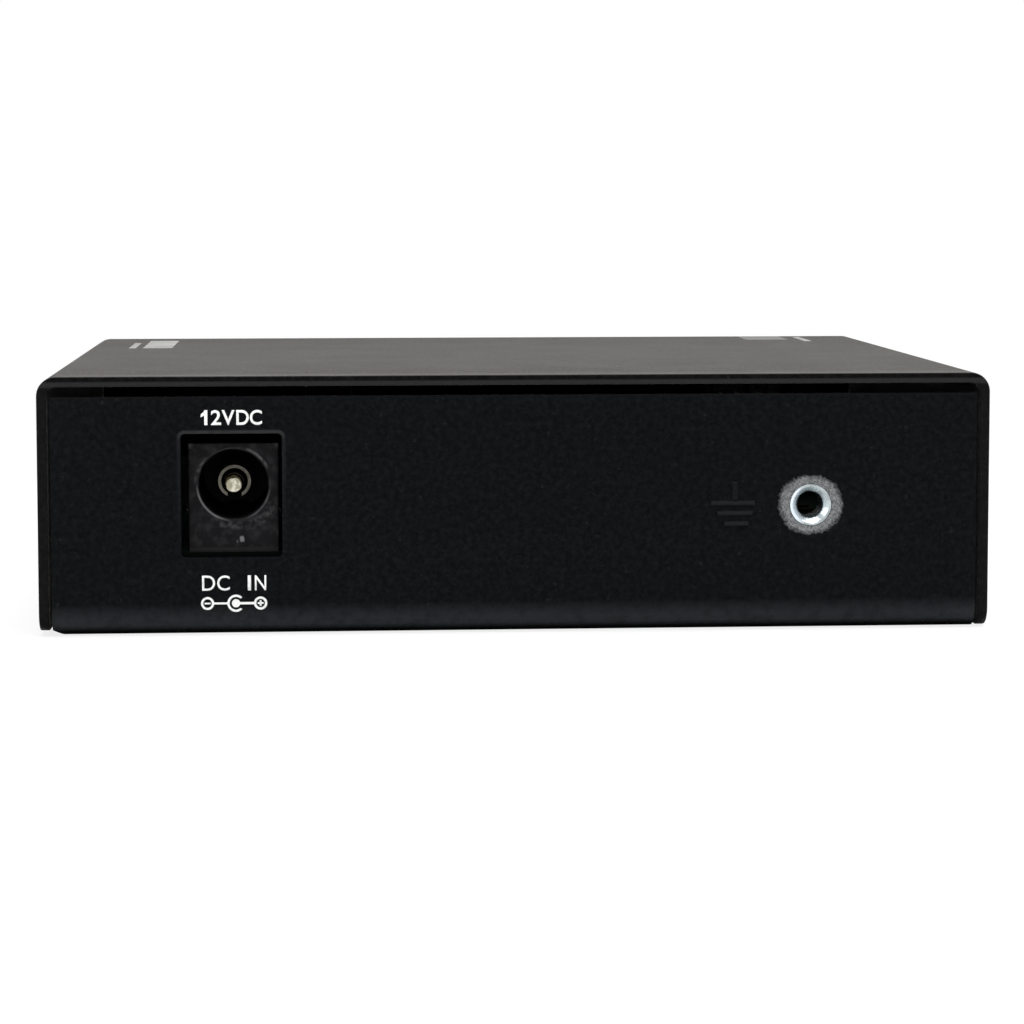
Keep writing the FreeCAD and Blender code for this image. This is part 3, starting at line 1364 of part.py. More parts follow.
def make_magnetics_leads():
    """Leads along the transformer's two long sides."""
    body = new_body("line_transformer_leads")
    side = "Sizes.magnetics_depth / 2"
    lead = new_sketch(body, "YZ_Plane", "-Sizes.magnetics_pitch * (Sizes.magnetics_count - 1) / 2")
    outline(lead, [
        (side, "Sizes.strip"),
        (f"{side} + Sizes.strip", "0"),
        (f"{side} + Sizes.lead_reach", "0"),
        (f"{side} + Sizes.lead_reach", "Sizes.strip"),
        (f"{side} + 2 * Sizes.strip", "Sizes.strip"),
        (side, "Sizes.strip * 3"),
    ])
    pad(body, lead, "Sizes.pin_gauge", symmetric=True)
    row_of(body, "X_Axis", "Sizes.magnetics_pitch", "Sizes.magnetics_count")
    mirror(body, "XZ_Plane")
    place_magnetics(body)
    return body


def make_crystal():
    """Crystal: flat ceramic package with a smaller metal lid."""
    body = new_body("crystal")
    package = "Sizes.crystal_height - Sizes.crystal_lid"
    for inset, height in (("0", package), ("Sizes.crystal_lid", "Sizes.crystal_height")):
        plan = new_sketch(body, "XY_Plane")
        centred(plan, "0", "0", f"(Sizes.crystal_width - {inset})", f"(Sizes.crystal_length - {inset})")
        pad(body, plan, height)
    place(body, "Sizes.crystal_x", "Sizes.crystal_y", BOARD_TOP)
    return body


def make_coil():
    """Shielded power inductor: square base with a round ferrite drum."""
    body = new_body("power_inductor")
    plan = new_sketch(body, "XY_Plane")
    centred(plan, "0", "0", "Sizes.coil_size", "Sizes.coil_size")
    pad(body, plan, "Sizes.coil_base")
    dress(body, "Chamfer", lambda edge, at: along(edge, Z_WAY), "Sizes.coil_corner")
    drum = new_sketch(body, "XY_Plane")
    circle(drum, "0", "0", "Sizes.coil_size / 2 - Sizes.strip")
    pad(body, drum, "Sizes.coil_height")
    place(body, "Sizes.coil_x", "Sizes.coil_y", BOARD_TOP)
    return body


def make_can():
    """Electrolytic capacitor can."""
    body = new_body("filter_capacitor")
    plan = new_sketch(body, "XY_Plane", "Sizes.strip")
    circle(plan, "0", "0", "Sizes.can_diameter / 2")
    pad(body, plan, "Sizes.can_height - Sizes.strip")
    place(body, "Sizes.can_x", "Sizes.can_y", BOARD_TOP)
    return body


def make_can_base():
    """Square plastic base under the capacitor can, two corners cut."""
    body = new_body("capacitor_base")
    plan = new_sketch(body, "XY_Plane")
    half = "(Sizes.can_diameter / 2 + Sizes.solder_slip)"
    outline(plan, [
        (f"-{half}", f"-{half}"),
        (half, f"-{half}"),
        (half, f"{half} - Sizes.can_corner"),
        (f"{half} - Sizes.can_corner", half),
        (f"-{half} + Sizes.can_corner", half),
        (f"-{half}", f"{half} - Sizes.can_corner"),
    ])
    pad(body, plan, "Sizes.strip")
    place(body, "Sizes.can_x", "Sizes.can_y", BOARD_TOP)
    return body


def make_regulator():
    """Voltage regulator: moulded body, heat tab and three legs on the board."""
    body = new_body("voltage_regulator")
    plan = new_sketch(body, "XY_Plane")
    centred(plan, "0", "0", "Sizes.regulator_width", "Sizes.regulator_depth")
    pad(body, plan, "Sizes.regulator_height")
    dress(body, "Chamfer", lambda edge, at: near(at.z, number("regulator_height")), "Sizes.strip")
    legs = new_sketch(body, "XY_Plane")
    reach = "(Sizes.regulator_depth / 2 + Sizes.regulator_reach)"
    rectangle(legs, "-Sizes.regulator_width / 4", "0", "Sizes.regulator_width / 4", reach)
    for step in (-1, 0, 1):
        centre = f"{step} * Sizes.regulator_pitch"
        rectangle(
            legs, f"{centre} - Sizes.regulator_leg / 2", f"-{reach}",
            f"{centre} + Sizes.regulator_leg / 2", "-Sizes.strip",
        )
    pad(body, legs, "Sizes.strip")
    place(body, "Sizes.regulator_x", "Sizes.regulator_y", BOARD_TOP)
    return body


def make_chip_components():
    """Small surface-mount parts: oblong blocks standing on the board."""
    body = new_body("chip_components")
    # (across, along, lies along Y) in grid steps from the controller's centre
    spots = [
        (-7, -2, 0), (-7, -1, 0), (6, -5, 1), (7, -5, 1), (8, -5, 1),
        (-2, 6, 1), (0, 6, 1), (2, 6, 1), (8, 1, 0), (8, 3, 0), (-1, -7, 1), (1, -7, 1),
    ]
    plan = new_sketch(body, "XY_Plane")
    for across, deep, turned in spots:
        sides = ("Sizes.small_width", "Sizes.small_length")
        width, length = sides if turned else sides[::-1]
        centred(plan, f"{across} * Sizes.grid_step", f"{deep} * Sizes.grid_step", width, length)
    pad(body, plan, "Sizes.small_height")
    place(body, "Sizes.chip_x", "Sizes.chip_y", BOARD_TOP)
    return body


# ---------------------------------------------------------------- build, check, write

MAKERS = [
    make_tray, make_cover, make_ground_nut, make_case_screws,
    make_standoffs, make_board_screws, make_board,
    make_jack_housing, make_jack_pin, make_jack_collar, make_jack_spring, make_jack_tail, make_jack_lug,
    make_copper_shell, make_copper_housing, make_copper_wires,
    make_fibre_housing, make_fibre_barrels, make_fibre_sleeves, make_fibre_latches, make_fibre_pins,
    make_lamp_holder, make_lamp_lenses, make_lamp_leads,
    make_switch_cover, make_switch_base, make_switch_terminals,
    make_chip, make_chip_leads, make_magnetics, make_magnetics_leads, make_crystal,
    make_coil, make_can, make_can_base, make_regulator, make_chip_components,
]

pieces = [maker() for maker in MAKERS]
pieces += [make_switch_lever(lever) for lever in range(LEVERS)]
doc.recompute()

for item in doc.Objects:
    if "Invalid" in item.State or "Error" in item.State:
        raise RuntimeError(f"{item.Label} failed: {item.State}")
for piece in pieces:
    if piece.Shape.isNull() or not piece.Shape.isValid():
        raise RuntimeError(f"{piece.Label} has no valid shape")

os.makedirs("parts", exist_ok=True)
for piece in pieces:
    piece.Shape.exportStep(os.path.join("parts", f"{piece.Label}.step"))
    print(f"{piece.Label}: {len(piece.Shape.Solids)} solid(s), {piece.Shape.Volume:.1f} mm3")
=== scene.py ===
# %% [markdown]
# # A small fibre media converter, dressed for its portrait
#
# The object is a black steel box as wide as a hand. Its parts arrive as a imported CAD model: a folded tray,
# a folded cover, a DC inlet, a grounding nut and the ports on the far side. This lesson gives each visible
# part rounded edges, a finish and the small marks that a CAD model leaves out, then sets up a camera and
# soft light.

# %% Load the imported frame
import json
import math

import bmesh
import bpy
from mathutils import Matrix, Vector


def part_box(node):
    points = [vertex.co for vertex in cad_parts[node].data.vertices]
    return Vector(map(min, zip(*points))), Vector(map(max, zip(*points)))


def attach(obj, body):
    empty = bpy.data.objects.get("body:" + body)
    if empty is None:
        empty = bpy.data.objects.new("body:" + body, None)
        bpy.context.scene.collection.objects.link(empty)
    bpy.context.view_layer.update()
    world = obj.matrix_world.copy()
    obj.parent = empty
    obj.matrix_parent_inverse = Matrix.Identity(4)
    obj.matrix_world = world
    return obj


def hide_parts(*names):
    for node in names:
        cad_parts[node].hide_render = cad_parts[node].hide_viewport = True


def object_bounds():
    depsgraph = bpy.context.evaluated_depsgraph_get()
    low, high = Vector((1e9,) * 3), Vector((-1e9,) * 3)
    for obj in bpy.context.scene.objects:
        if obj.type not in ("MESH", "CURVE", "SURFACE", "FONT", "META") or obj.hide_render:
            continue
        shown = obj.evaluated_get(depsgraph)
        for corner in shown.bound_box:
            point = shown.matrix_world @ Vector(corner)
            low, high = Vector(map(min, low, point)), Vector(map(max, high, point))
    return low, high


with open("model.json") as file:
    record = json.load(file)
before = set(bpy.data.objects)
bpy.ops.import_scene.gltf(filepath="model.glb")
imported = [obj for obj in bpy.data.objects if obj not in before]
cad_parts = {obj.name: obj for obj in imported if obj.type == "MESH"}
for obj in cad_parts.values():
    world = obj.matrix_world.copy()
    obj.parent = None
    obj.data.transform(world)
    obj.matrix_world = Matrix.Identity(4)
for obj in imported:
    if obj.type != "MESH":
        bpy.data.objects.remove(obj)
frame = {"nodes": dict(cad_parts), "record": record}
cad_low, cad_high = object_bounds()
record = frame["record"]
body_of_node = {node: body for body, nodes in record["behaviour"]["bodies"].items() for node in nodes}
slot_of_node = {part["node"]: part["material_slot"] for part in record["subparts"]}
MM = 0.001


def in_mm(vector):
    return tuple(round(v / MM, 2) for v in vector)


print("CAD box", in_mm(cad_high - cad_low), "mm,", len(frame["nodes"]), "nodes")

# %% [markdown]
# ## The camera
# The box is looked at from about 28 cm, a little from the left of its middle and slightly from above, so
# its top shows as a thin sliver. A long lens keeps its sides nearly upright, and a lens shift of a tenth of
# the frame takes part of the nod, so that they lean less. The shift stays small, because it is kept when
# the camera goes round the object. The angles are a compass turn to the right, a nod downwards and a slight
# roll.

# %% Camera
CAMERA_PLACE = Vector((-18.93, -318.04, 43.99)) * MM
TURN_RIGHT, NOD_DOWN, ROLL = (math.radians(angle) for angle in (3.722, 4.394, -0.050))
# units across the frame, in which the focal length and the shift are given
FRAME = 1024
FOCAL_LENGTH = 2848.5 / FRAME
SHIFT = -102 / FRAME
SENSOR = 36.0
NEAREST, FARTHEST = 0.01, 20.0


def linked(name, data):
    """A new object in the scene."""
    item = bpy.data.objects.new(name, data)
    bpy.context.scene.collection.objects.link(item)
    return item


camera_data = bpy.data.cameras.new("portrait_camera")
camera_data.sensor_width = SENSOR
camera_data.lens = FOCAL_LENGTH * SENSOR
camera_data.shift_y = SHIFT
camera_data.clip_start = NEAREST
camera_data.clip_end = FARTHEST
camera = linked("portrait_camera", camera_data)
camera.location = CAMERA_PLACE
level = Matrix.Rotation(-TURN_RIGHT, 4, "Z") @ Matrix.Rotation(math.pi / 2 - NOD_DOWN, 4, "X")
camera.rotation_euler = (level @ Matrix.Rotation(ROLL, 4, "Z")).to_euler()
bpy.context.scene.camera = camera
print("lens", round(camera_data.lens, 1), "mm")

# %% [markdown]
# ## Backdrop and light
# The box stands in a white studio. White walls could be lit until they look white, but so much light would
# fall on the black box as well and turn it grey. So what the camera and the reflections see is set apart
# from what lights the box, and the Light Path node tells those rays from the others.

# %% Nodes and white rays
WHITE = (1.0, 1.0, 1.0, 1.0)


def add(tree, kind, *inputs, **settings):
    """A node with its settings; an input is a value, a socket to link, or None to leave it."""
    node = tree.nodes.new(kind)
    for setting, value in settings.items():
        setattr(node, setting, value)
    for socket, value in zip(node.inputs, inputs):
        if isinstance(value, bpy.types.NodeSocket):
            tree.links.new(value, socket)
        elif value is not None:
            socket.default_value = value
    return node


def white_where_seen(tree):
    """A factor that is 1 for camera, glossy and transmission rays and 0 for the others."""
    rays = add(tree, "ShaderNodeLightPath").outputs
    seen = rays["Is Camera Ray"]
    for name in ("Is Glossy Ray", "Is Transmission Ray"):
        seen = add(tree, "ShaderNodeMath", seen, rays[name], operation="MAXIMUM").outputs[0]
    return seen


print("node helpers")

# %% [markdown]
# ### Sky
# The sky looks plain white, but lights the box with only about half of that, evenly from all sides.

# %% World
SKY_LIGHT, SKY_SEEN = 0.55, 1.0
world = bpy.data.worlds.new("studio")
bpy.context.scene.world = world
world.use_nodes = True
sky = world.node_tree
sky.nodes.clear()
backgrounds = [add(sky, "ShaderNodeBackground", WHITE, power).outputs[0] for power in (SKY_LIGHT, SKY_SEEN)]
sky_mix = add(sky, "ShaderNodeMixShader", white_where_seen(sky), *backgrounds)
add(sky, "ShaderNodeOutputWorld", sky_mix.outputs[0])
print("sky of strength", SKY_LIGHT)

# %% [markdown]
# ### Floor
# The floor is a wide white sweep. Near the box it keeps part of its own shading, which leaves a soft
# contact shadow, and further out it turns plain white, so that no horizon shows. Reflections see the shaded
# floor within 4 mm of the box's foot, so the foot stays dark.

# %% Floor
FLOOR_HALF = 3.0
FLOOR_GREY = (0.86, 0.86, 0.86, 1.0)
FADE_START, FADE_END, FADE_FROM = 0.06, 0.30, 0.80
FOOT_REACH = 0.004
floor_shape = bmesh.new()
bmesh.ops.create_grid(floor_shape, x_segments=2, y_segments=2, size=FLOOR_HALF)
floor_mesh = bpy.data.meshes.new("floor")
floor_shape.to_mesh(floor_mesh)
floor_shape.free()
floor = linked("floor", floor_mesh)

floor_finish = bpy.data.materials.new("white_sweep")
floor_finish.use_nodes = True
sweep = floor_finish.node_tree
sweep.nodes.clear()
on_floor = add(sweep, "ShaderNodeTexCoord").outputs["Object"]
from_middle = add(sweep, "ShaderNodeVectorMath", on_floor, operation="LENGTH").outputs["Value"]
fade = add(
    sweep, "ShaderNodeMapRange", from_middle, FADE_START, FADE_END, FADE_FROM, 1.0,
).outputs["Result"]
white = add(sweep, "ShaderNodeMath", white_where_seen(sweep), fade, operation="MULTIPLY").outputs[0]
folded = add(sweep, "ShaderNodeVectorMath", on_floor, operation="ABSOLUTE").outputs["Vector"]
beyond = add(sweep, "ShaderNodeVectorMath", folded, (cad_high.x, -cad_low.y, 0.0), operation="SUBTRACT")
sides = add(sweep, "ShaderNodeSeparateXYZ", beyond.outputs["Vector"]).outputs
from_foot = add(sweep, "ShaderNodeMath", sides["X"], sides["Y"], operation="MAXIMUM").outputs[0]
clear = add(sweep, "ShaderNodeMapRange", from_foot, 0.0, FOOT_REACH).outputs["Result"]
from_camera = add(sweep, "ShaderNodeLightPath").outputs["Is Camera Ray"]
lit = add(sweep, "ShaderNodeMath", from_camera, clear, operation="MAXIMUM").outputs[0]
share = add(sweep, "ShaderNodeMath", white, lit, operation="MULTIPLY").outputs[0]
shading = add(sweep, "ShaderNodeBsdfDiffuse", FLOOR_GREY).outputs[0]
glow = add(sweep, "ShaderNodeEmission", WHITE, 1.0).outputs[0]
floor_mix = add(sweep, "ShaderNodeMixShader", share, shading, glow)
add(sweep, "ShaderNodeOutputMaterial", floor_mix.outputs[0])
floor_mesh.materials.append(floor_finish)
print("floor", 2 * FLOOR_HALF, "m wide")

# %% [markdown]
# ### Lamps
# A wide lamp overhead and two weaker ones at the sides are soft, like boxes of cloth in a studio. They are
# area lamps, since a point lamp would draw hard shadows and small hot highlights.

# %% Lamps
for lamp_name, place, width, watts in (
    ("lamp_overhead", (0.05, -0.06, 0.62), 0.60, 6.0),
    ("lamp_left", (-0.65, -0.25, 0.35), 0.40, 1.6),
    ("lamp_right", (0.60, 0.30, 0.40), 0.40, 1.6),
):
    lamp_data = bpy.data.lights.new(lamp_name, "AREA")
    lamp_data.size = width
    lamp_data.energy = watts
    lamp = linked(lamp_name, lamp_data)
    lamp.location = place
    lamp.rotation_euler = (-Vector(place)).to_track_quat("-Z", "Y").to_euler()
bpy.context.scene.view_settings.view_transform = "Standard"
print("3 lamps")

# %% [markdown]
# ## Finishes
# Every finish is one Principled shader with patterns made from noise on Object coordinates, which are
# metres here, so a pattern's scale is how many of its grains fit in a metre. Images could carry such
# patterns too, but they need unwrapping, while noise keeps its scale on every part. A small class keeps the
# recipes short: it makes the shader, sets its fixed values, and wires noise, ranges, bands, blends and
# bumps.

# %% Finish helpers
class Finish:
    """A material with a Principled shader, its Object coordinates and short ways to wire patterns."""

    def __init__(self, name, color=(0.5, 0.5, 0.5), **values):
        self.material = bpy.data.materials.new(name)
        self.material.use_nodes = True
        self.material.diffuse_color = (*color, 1.0)
        self.tree = self.material.node_tree
        self.shader = self.tree.nodes["Principled BSDF"]
        self.shader.inputs["Base Color"].default_value = (*color, 1.0)
        for socket, value in values.items():
            socket = socket.replace("_", " ").title().replace("Ior", "IOR")
            self.shader.inputs[socket].default_value = value
        self.place = self.add("ShaderNodeTexCoord").outputs["Object"]

    def add(self, kind, *inputs, **settings):
        return add(self.tree, kind, *inputs, **settings)

    def axis(self, letter):
        """One of the three coordinates."""
        return self.add("ShaderNodeSeparateXYZ", self.place).outputs[letter]

    def around(self, x, z):
        """The offsets along X and Z from an axis that runs along Y, and the distance from it."""
        across = self.math("SUBTRACT", self.axis("X"), x)
        up = self.math("SUBTRACT", self.axis("Z"), z)
        square = self.math("ADD", self.product(across, across), self.product(up, up))
        return across, up, self.math("SQRT", square)

    def stretched(self, factors):
        """The coordinates, stretched along each axis."""
        return self.add("ShaderNodeMapping", self.place, None, None, factors).outputs["Vector"]

    def noise(self, grains, low=0.3, high=0.7, detail=3.0, distortion=0.0, along=None):
        """Noise with this many grains in a metre: 0 where it is under low and 1 where it is over high."""
        texture = self.add("ShaderNodeTexNoise", along or self.place)
        for socket, value in (("Scale", grains), ("Detail", detail), ("Distortion", distortion)):
            texture.inputs[socket].default_value = value
        return self.ranged(texture.outputs["Fac"], low, high)

    def ranged(self, value, low, high, start=0.0, end=1.0):
        """A value mapped from low..high to start..end, clamped."""
        return self.add("ShaderNodeMapRange", value, low, high, start, end).outputs["Result"]

    def band(self, value, start, full, fade, end):
        """1 where the value lies between full and fade, and 0 before start and after end."""
        return self.product(self.ranged(value, start, full), self.ranged(value, fade, end, 1.0, 0.0))

    def math(self, operation, first, second=None):
        """One sum of two values; either may be a number."""
        return self.add("ShaderNodeMath", first, second, operation=operation).outputs[0]

    def product(self, first, *others):
        """All the values multiplied."""
        for other in others:
            first = self.math("MULTIPLY", first, other)
        return first

    def blend(self, factor, first, second, kind="RGBA"):
        """Colours, or numbers with kind FLOAT, mixed by a factor."""
        node = self.add("ShaderNodeMix", data_type=kind)
        sockets = [socket for socket in node.inputs if socket.enabled]
        for socket, value in zip(sockets, (factor, first, second)):
            if isinstance(value, bpy.types.NodeSocket):
                self.tree.links.new(value, socket)
            else:
                socket.default_value = (*value, 1.0) if isinstance(value, tuple) else value
        return next(socket for socket in node.outputs if socket.enabled)

    def driving(self, socket):
        """What is wired to one of the shader's sockets so far."""
        return self.shader.inputs[socket].links[0].from_socket

    def set(self, socket, value):
        """A value wired to one of the shader's sockets."""
        self.tree.links.new(value, self.shader.inputs[socket])

    def tint(self, share, color):
        """Another base colour where the share is high."""
        self.set("Base Color", self.blend(share, self.driving("Base Color"), color))

    def bump(self, height, distance, strength=1.0):
        """Bump of a height pattern, in metres; bumps chain, so a second one rides on the first."""
        node = self.add("ShaderNodeBump")
        node.inputs["Distance"].default_value = distance
        node.inputs["Strength"].default_value = strength
        self.tree.links.new(height, node.inputs["Height"])
        if self.shader.inputs["Normal"].is_linked:
            self.tree.links.new(self.driving("Normal"), node.inputs["Normal"])
        self.set("Normal", node.outputs["Normal"])


finishes = {}
print("finish helpers")

# %% [markdown]
# ### Powder coat
# The case is steel under a black powder coat: fine dry grains that melted together in an oven. Close up it
# has a pebbled skin with grains of about a quarter of a millimetre, a few paler flecks of dust, and soft
# cloudy changes in gloss. It reflects almost nothing straight on and a lot at a grazing angle, so the top
# looks grey and the wall looks black. The plain specular level is kept low for that, and the roughness
# fairly high.

# %% Powder coat
COAT, FLECK = (0.0005, 0.0010, 0.0017), (0.020, 0.021, 0.023)
WEAR = 0.0055


def powder_coat(name, tint=COAT, **values):
    coat = Finish(name, tint, specular_ior_level=0.046, **values)
    pebbles = coat.noise(3600.0, 0.34, 0.70, detail=2.0)
    mottle = coat.noise(1700.0, 0.42, 0.72, detail=4.0)
    fine = coat.noise(9000.0, 0.3, 0.7, detail=1.0)
    clouds = coat.product(coat.noise(120.0, 0.35, 0.65, detail=4.0), 0.4)
    flecks = coat.noise(1500.0, 0.69, 0.76, detail=2.0)
    worn = tuple(channel + WEAR for channel in tint)
    mixed = coat.math("ADD", coat.product(pebbles, 0.40), coat.product(mottle, 0.55))
    coat.set("Base Color", coat.blend(mixed, tint, worn))
    coat.tint(coat.product(flecks, 0.35), FLECK)
    coat.set("Roughness", coat.ranged(coat.math("ADD", clouds, pebbles), 0.0, 1.4, 0.33, 0.47))
    coat.bump(pebbles, 0.00006, 0.5)
    coat.bump(fine, 0.00002, 0.35)
    return coat


finishes["black_steel"] = powder_coat("powder_coat").material
print("powder coat")

# %% [markdown]
# ### The cover's edge, dust and painted light
# Powder draws back from a cut edge as it melts, so raw edges stay thinly covered and look a little paler.
# On the cover that is the lower half of the sheet's end that faces the viewer, painted lighter still as
# painted light on the rounded edge. The mask could be painted by hand, but a plain distance along one axis
# needs no unwrapping and stays with the part. A breath of warm grey dust lies on the cover; a little sheen
# stands for it. The dust's tint also fades towards the far edge as painted light that evens out the top's
# glare, and a painted highlight lies along the near edge.

# %% Coat of the cover
# paler sheet end: thin powder and painted light; dust: dust and painted light; near edge: painted highlight
THIN_COAT_AND_EDGE_LIGHT, DUST_AND_LIGHT, NEAR_EDGE_HIGHLIGHT = (0.018, 0.018, 0.019), (0.025, 0.0215, 0.0185), (0.044, 0.041, 0.039)
cover_low, cover_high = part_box("top_cover")
cover_coat = powder_coat(
    "powder_coat_of_cover", (0.0006, 0.0002, 0.0003),
    sheen_weight=0.155, sheen_roughness=0.30, sheen_tint=(1.0, 0.95, 0.88, 1.0),
)
sheet_end = cover_coat.ranged(
    cover_coat.axis("Y"), cover_low.y + 0.04 * MM, cover_low.y + 0.16 * MM, 1.0, 0.0,
)
cover_height = cover_coat.axis("Z")
lower_half = cover_coat.product(
    cover_coat.ranged(cover_height, cover_high.z - 0.60 * MM, cover_high.z - 0.42 * MM, 1.0, 0.0),
    cover_coat.ranged(cover_height, cover_high.z - 1.15 * MM, cover_high.z - 0.95 * MM, 0.12, 1.0),
)
# thin powder and painted light on the lower half of the sheet's end
cover_coat.tint(cover_coat.product(sheet_end, lower_half), THIN_COAT_AND_EDGE_LIGHT)
on_top = cover_coat.ranged(cover_height, cover_high.z - 0.03 * MM, cover_high.z - 0.01 * MM)
cover_length = cover_high.y - cover_low.y
cover_depth = cover_coat.math("SUBTRACT", cover_coat.axis("Y"), cover_low.y)
# painted light: the dust's tint fades towards the far edge to even out the top's glare
lighter_towards_front = cover_coat.ranged(cover_depth, 2.0 * MM, cover_length, 1.0, 0.4)
dust_grains = cover_coat.noise(2600.0, 0.36, 0.66, detail=3.0, along=cover_coat.stretched((1.0, 0.25, 1.0)))
cover_coat.tint(cover_coat.product(lighter_towards_front, dust_grains, on_top), DUST_AND_LIGHT)
# painted highlight along the top's near edge
near_edge = cover_coat.band(cover_depth, 0.3 * MM, 0.9 * MM, 1.8 * MM, 4.0 * MM)
cover_coat.tint(cover_coat.product(on_top, near_edge), NEAR_EDGE_HIGHLIGHT)
worn_matt = cover_coat.ranged(cover_depth, 0.0, cover_length, 0.0, 0.25)
cover_coat.set("Roughness", cover_coat.blend(worn_matt, cover_coat.driving("Roughness"), 1.0, "FLOAT"))
print("cover coat")

# %% [markdown]
# ### Painted light and shade on the tray's edges
# On the tray the paler places are painted light: painted highlights on the wall's upper edge and on the upper
# rim of the window round the inlet, and a painted reflection of the floor on the bend at the foot. Their
# masks are distances too, broken up by noise. The window is a rectangle with round corners, so the distance
# from it is measured from the middles of the corners, less their radius. Inside the window and under the bend
# the coat is matt and black as painted shade, since hardly any light reaches there.

# %% Coat of the tray
def paint_shade(coat, share):
    """Painted shade: matt and black where the share is high, as in places that no light from the room
    reaches.
    """
    coat.set("Roughness", coat.blend(share, coat.driving("Roughness"), 0.95, "FLOAT"))
    coat.tint(share, (0.0004, 0.0004, 0.0004))


jack_low, jack_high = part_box("dc_jack_housing")
tray_low, tray_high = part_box("base_tray")
WALL_FACE = tray_low.y
WINDOW_LEFT, WINDOW_RIGHT = jack_low.x - 0.7 * MM, jack_high.x + 0.35 * MM
WINDOW_FOOT, WINDOW_TOP = jack_low.z - 0.4 * MM, jack_high.z + 1.0 * MM
RIM_CORNER = 0.35 * MM


def edge_light_and_shade(coat):
    """Painted highlights on the wall's upper edge and the window's rim, a painted reflection on the bend at
    its foot, and painted shade under the bend and inside the window.
    """
    broken = coat.ranged(coat.noise(900.0, 0.30, 0.55, detail=4.0), 0.0, 1.0, 0.6, 1.0)
    height, depth = coat.axis("Z"), coat.axis("Y")
    # painted highlight on the wall's rounded upper edge
    wall_top = coat.ranged(height, tray_high.z - 0.20 * MM, tray_high.z - 0.08 * MM)
    coat.tint(coat.product(wall_top, broken), (0.0035, 0.0035, 0.004))
    # painted reflection of the floor on the bend at the foot
    bend = coat.band(height, *(tray_low.z + up * MM for up in (0.50, 1.05, 1.7, 3.2)))
    coat.tint(coat.product(bend, broken), (0.0170, 0.0190, 0.0215))
    # painted shade under the bend
    paint_shade(coat, coat.ranged(height, tray_low.z + 0.35 * MM, tray_low.z + 0.65 * MM, 1.0, 0.0))
    squares = []
    for axis, low, high in (("X", WINDOW_LEFT, WINDOW_RIGHT), ("Z", WINDOW_FOOT, WINDOW_TOP)):
        off_middle = coat.math("ABSOLUTE", coat.math("SUBTRACT", coat.axis(axis), (low + high) / 2))
        past_corner = coat.math("SUBTRACT", off_middle, (high - low) / 2 - RIM_CORNER)
        off_corner = coat.math("MAXIMUM", past_corner, 0.0)
        squares.append(coat.product(off_corner, off_corner))
    off_window = coat.math("SUBTRACT", coat.math("SQRT", coat.math("ADD", *squares)), RIM_CORNER)
    rim = coat.band(off_window, 0.02 * MM, 0.06 * MM, 0.28 * MM, 0.44 * MM)
    # painted highlight on the window's rim, strongest along its top
    upper = coat.math(
        "MAXIMUM",
        coat.ranged(height, WINDOW_TOP - 0.9 * MM, WINDOW_TOP + 0.1 * MM),
        coat.ranged(height, WINDOW_FOOT + 0.4 * MM, WINDOW_TOP, 0.0, 0.3),
    )
    in_front = coat.ranged(depth, WALL_FACE + 0.30 * MM, WALL_FACE + 0.45 * MM, 1.0, 0.0)
    coat.tint(coat.product(rim, upper, in_front, broken), (0.026, 0.026, 0.027))
    # painted shade inside the window
    near_window = coat.ranged(off_window, 0.35 * MM, 0.45 * MM, 1.0, 0.0)
    inside = coat.ranged(depth, WALL_FACE + 0.22 * MM, WALL_FACE + 0.34 * MM)
    paint_shade(coat, coat.product(near_window, inside))


tray_coat = powder_coat("powder_coat_of_tray")
edge_light_and_shade(tray_coat)
print("window", in_mm(Vector((WINDOW_RIGHT - WINDOW_LEFT, WINDOW_TOP - WINDOW_FOOT))), "mm")

# %% [markdown]
# ### Bare ring round the grounding nut
# Paint would keep the earth wire's lug from touching metal, so a mask keeps the powder off a ring round the
# nut. The ring's edge is ragged where the mask lifted, and a few grains of powder stay on the metal. The
# pattern is the distance from the nut's axis, shaken by noise, and it only counts on the wall's outer face.

# %% Bare ring
def front_middle(node):
    """The middle of the side that faces the viewer."""
    low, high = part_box(node)
    return Vector(((low.x + high.x) / 2, low.y, (low.z + high.z) / 2))


NUT = front_middle("ground_nut")
ZINC_DULL, ZINC_BRIGHT = (0.12, 0.125, 0.13), (0.26, 0.265, 0.27)
RING_RADIUS = 3.10 * MM
RING_FLATNESS = 1.08
RAGGED, LOBED = 0.18 * MM, 0.14 * MM


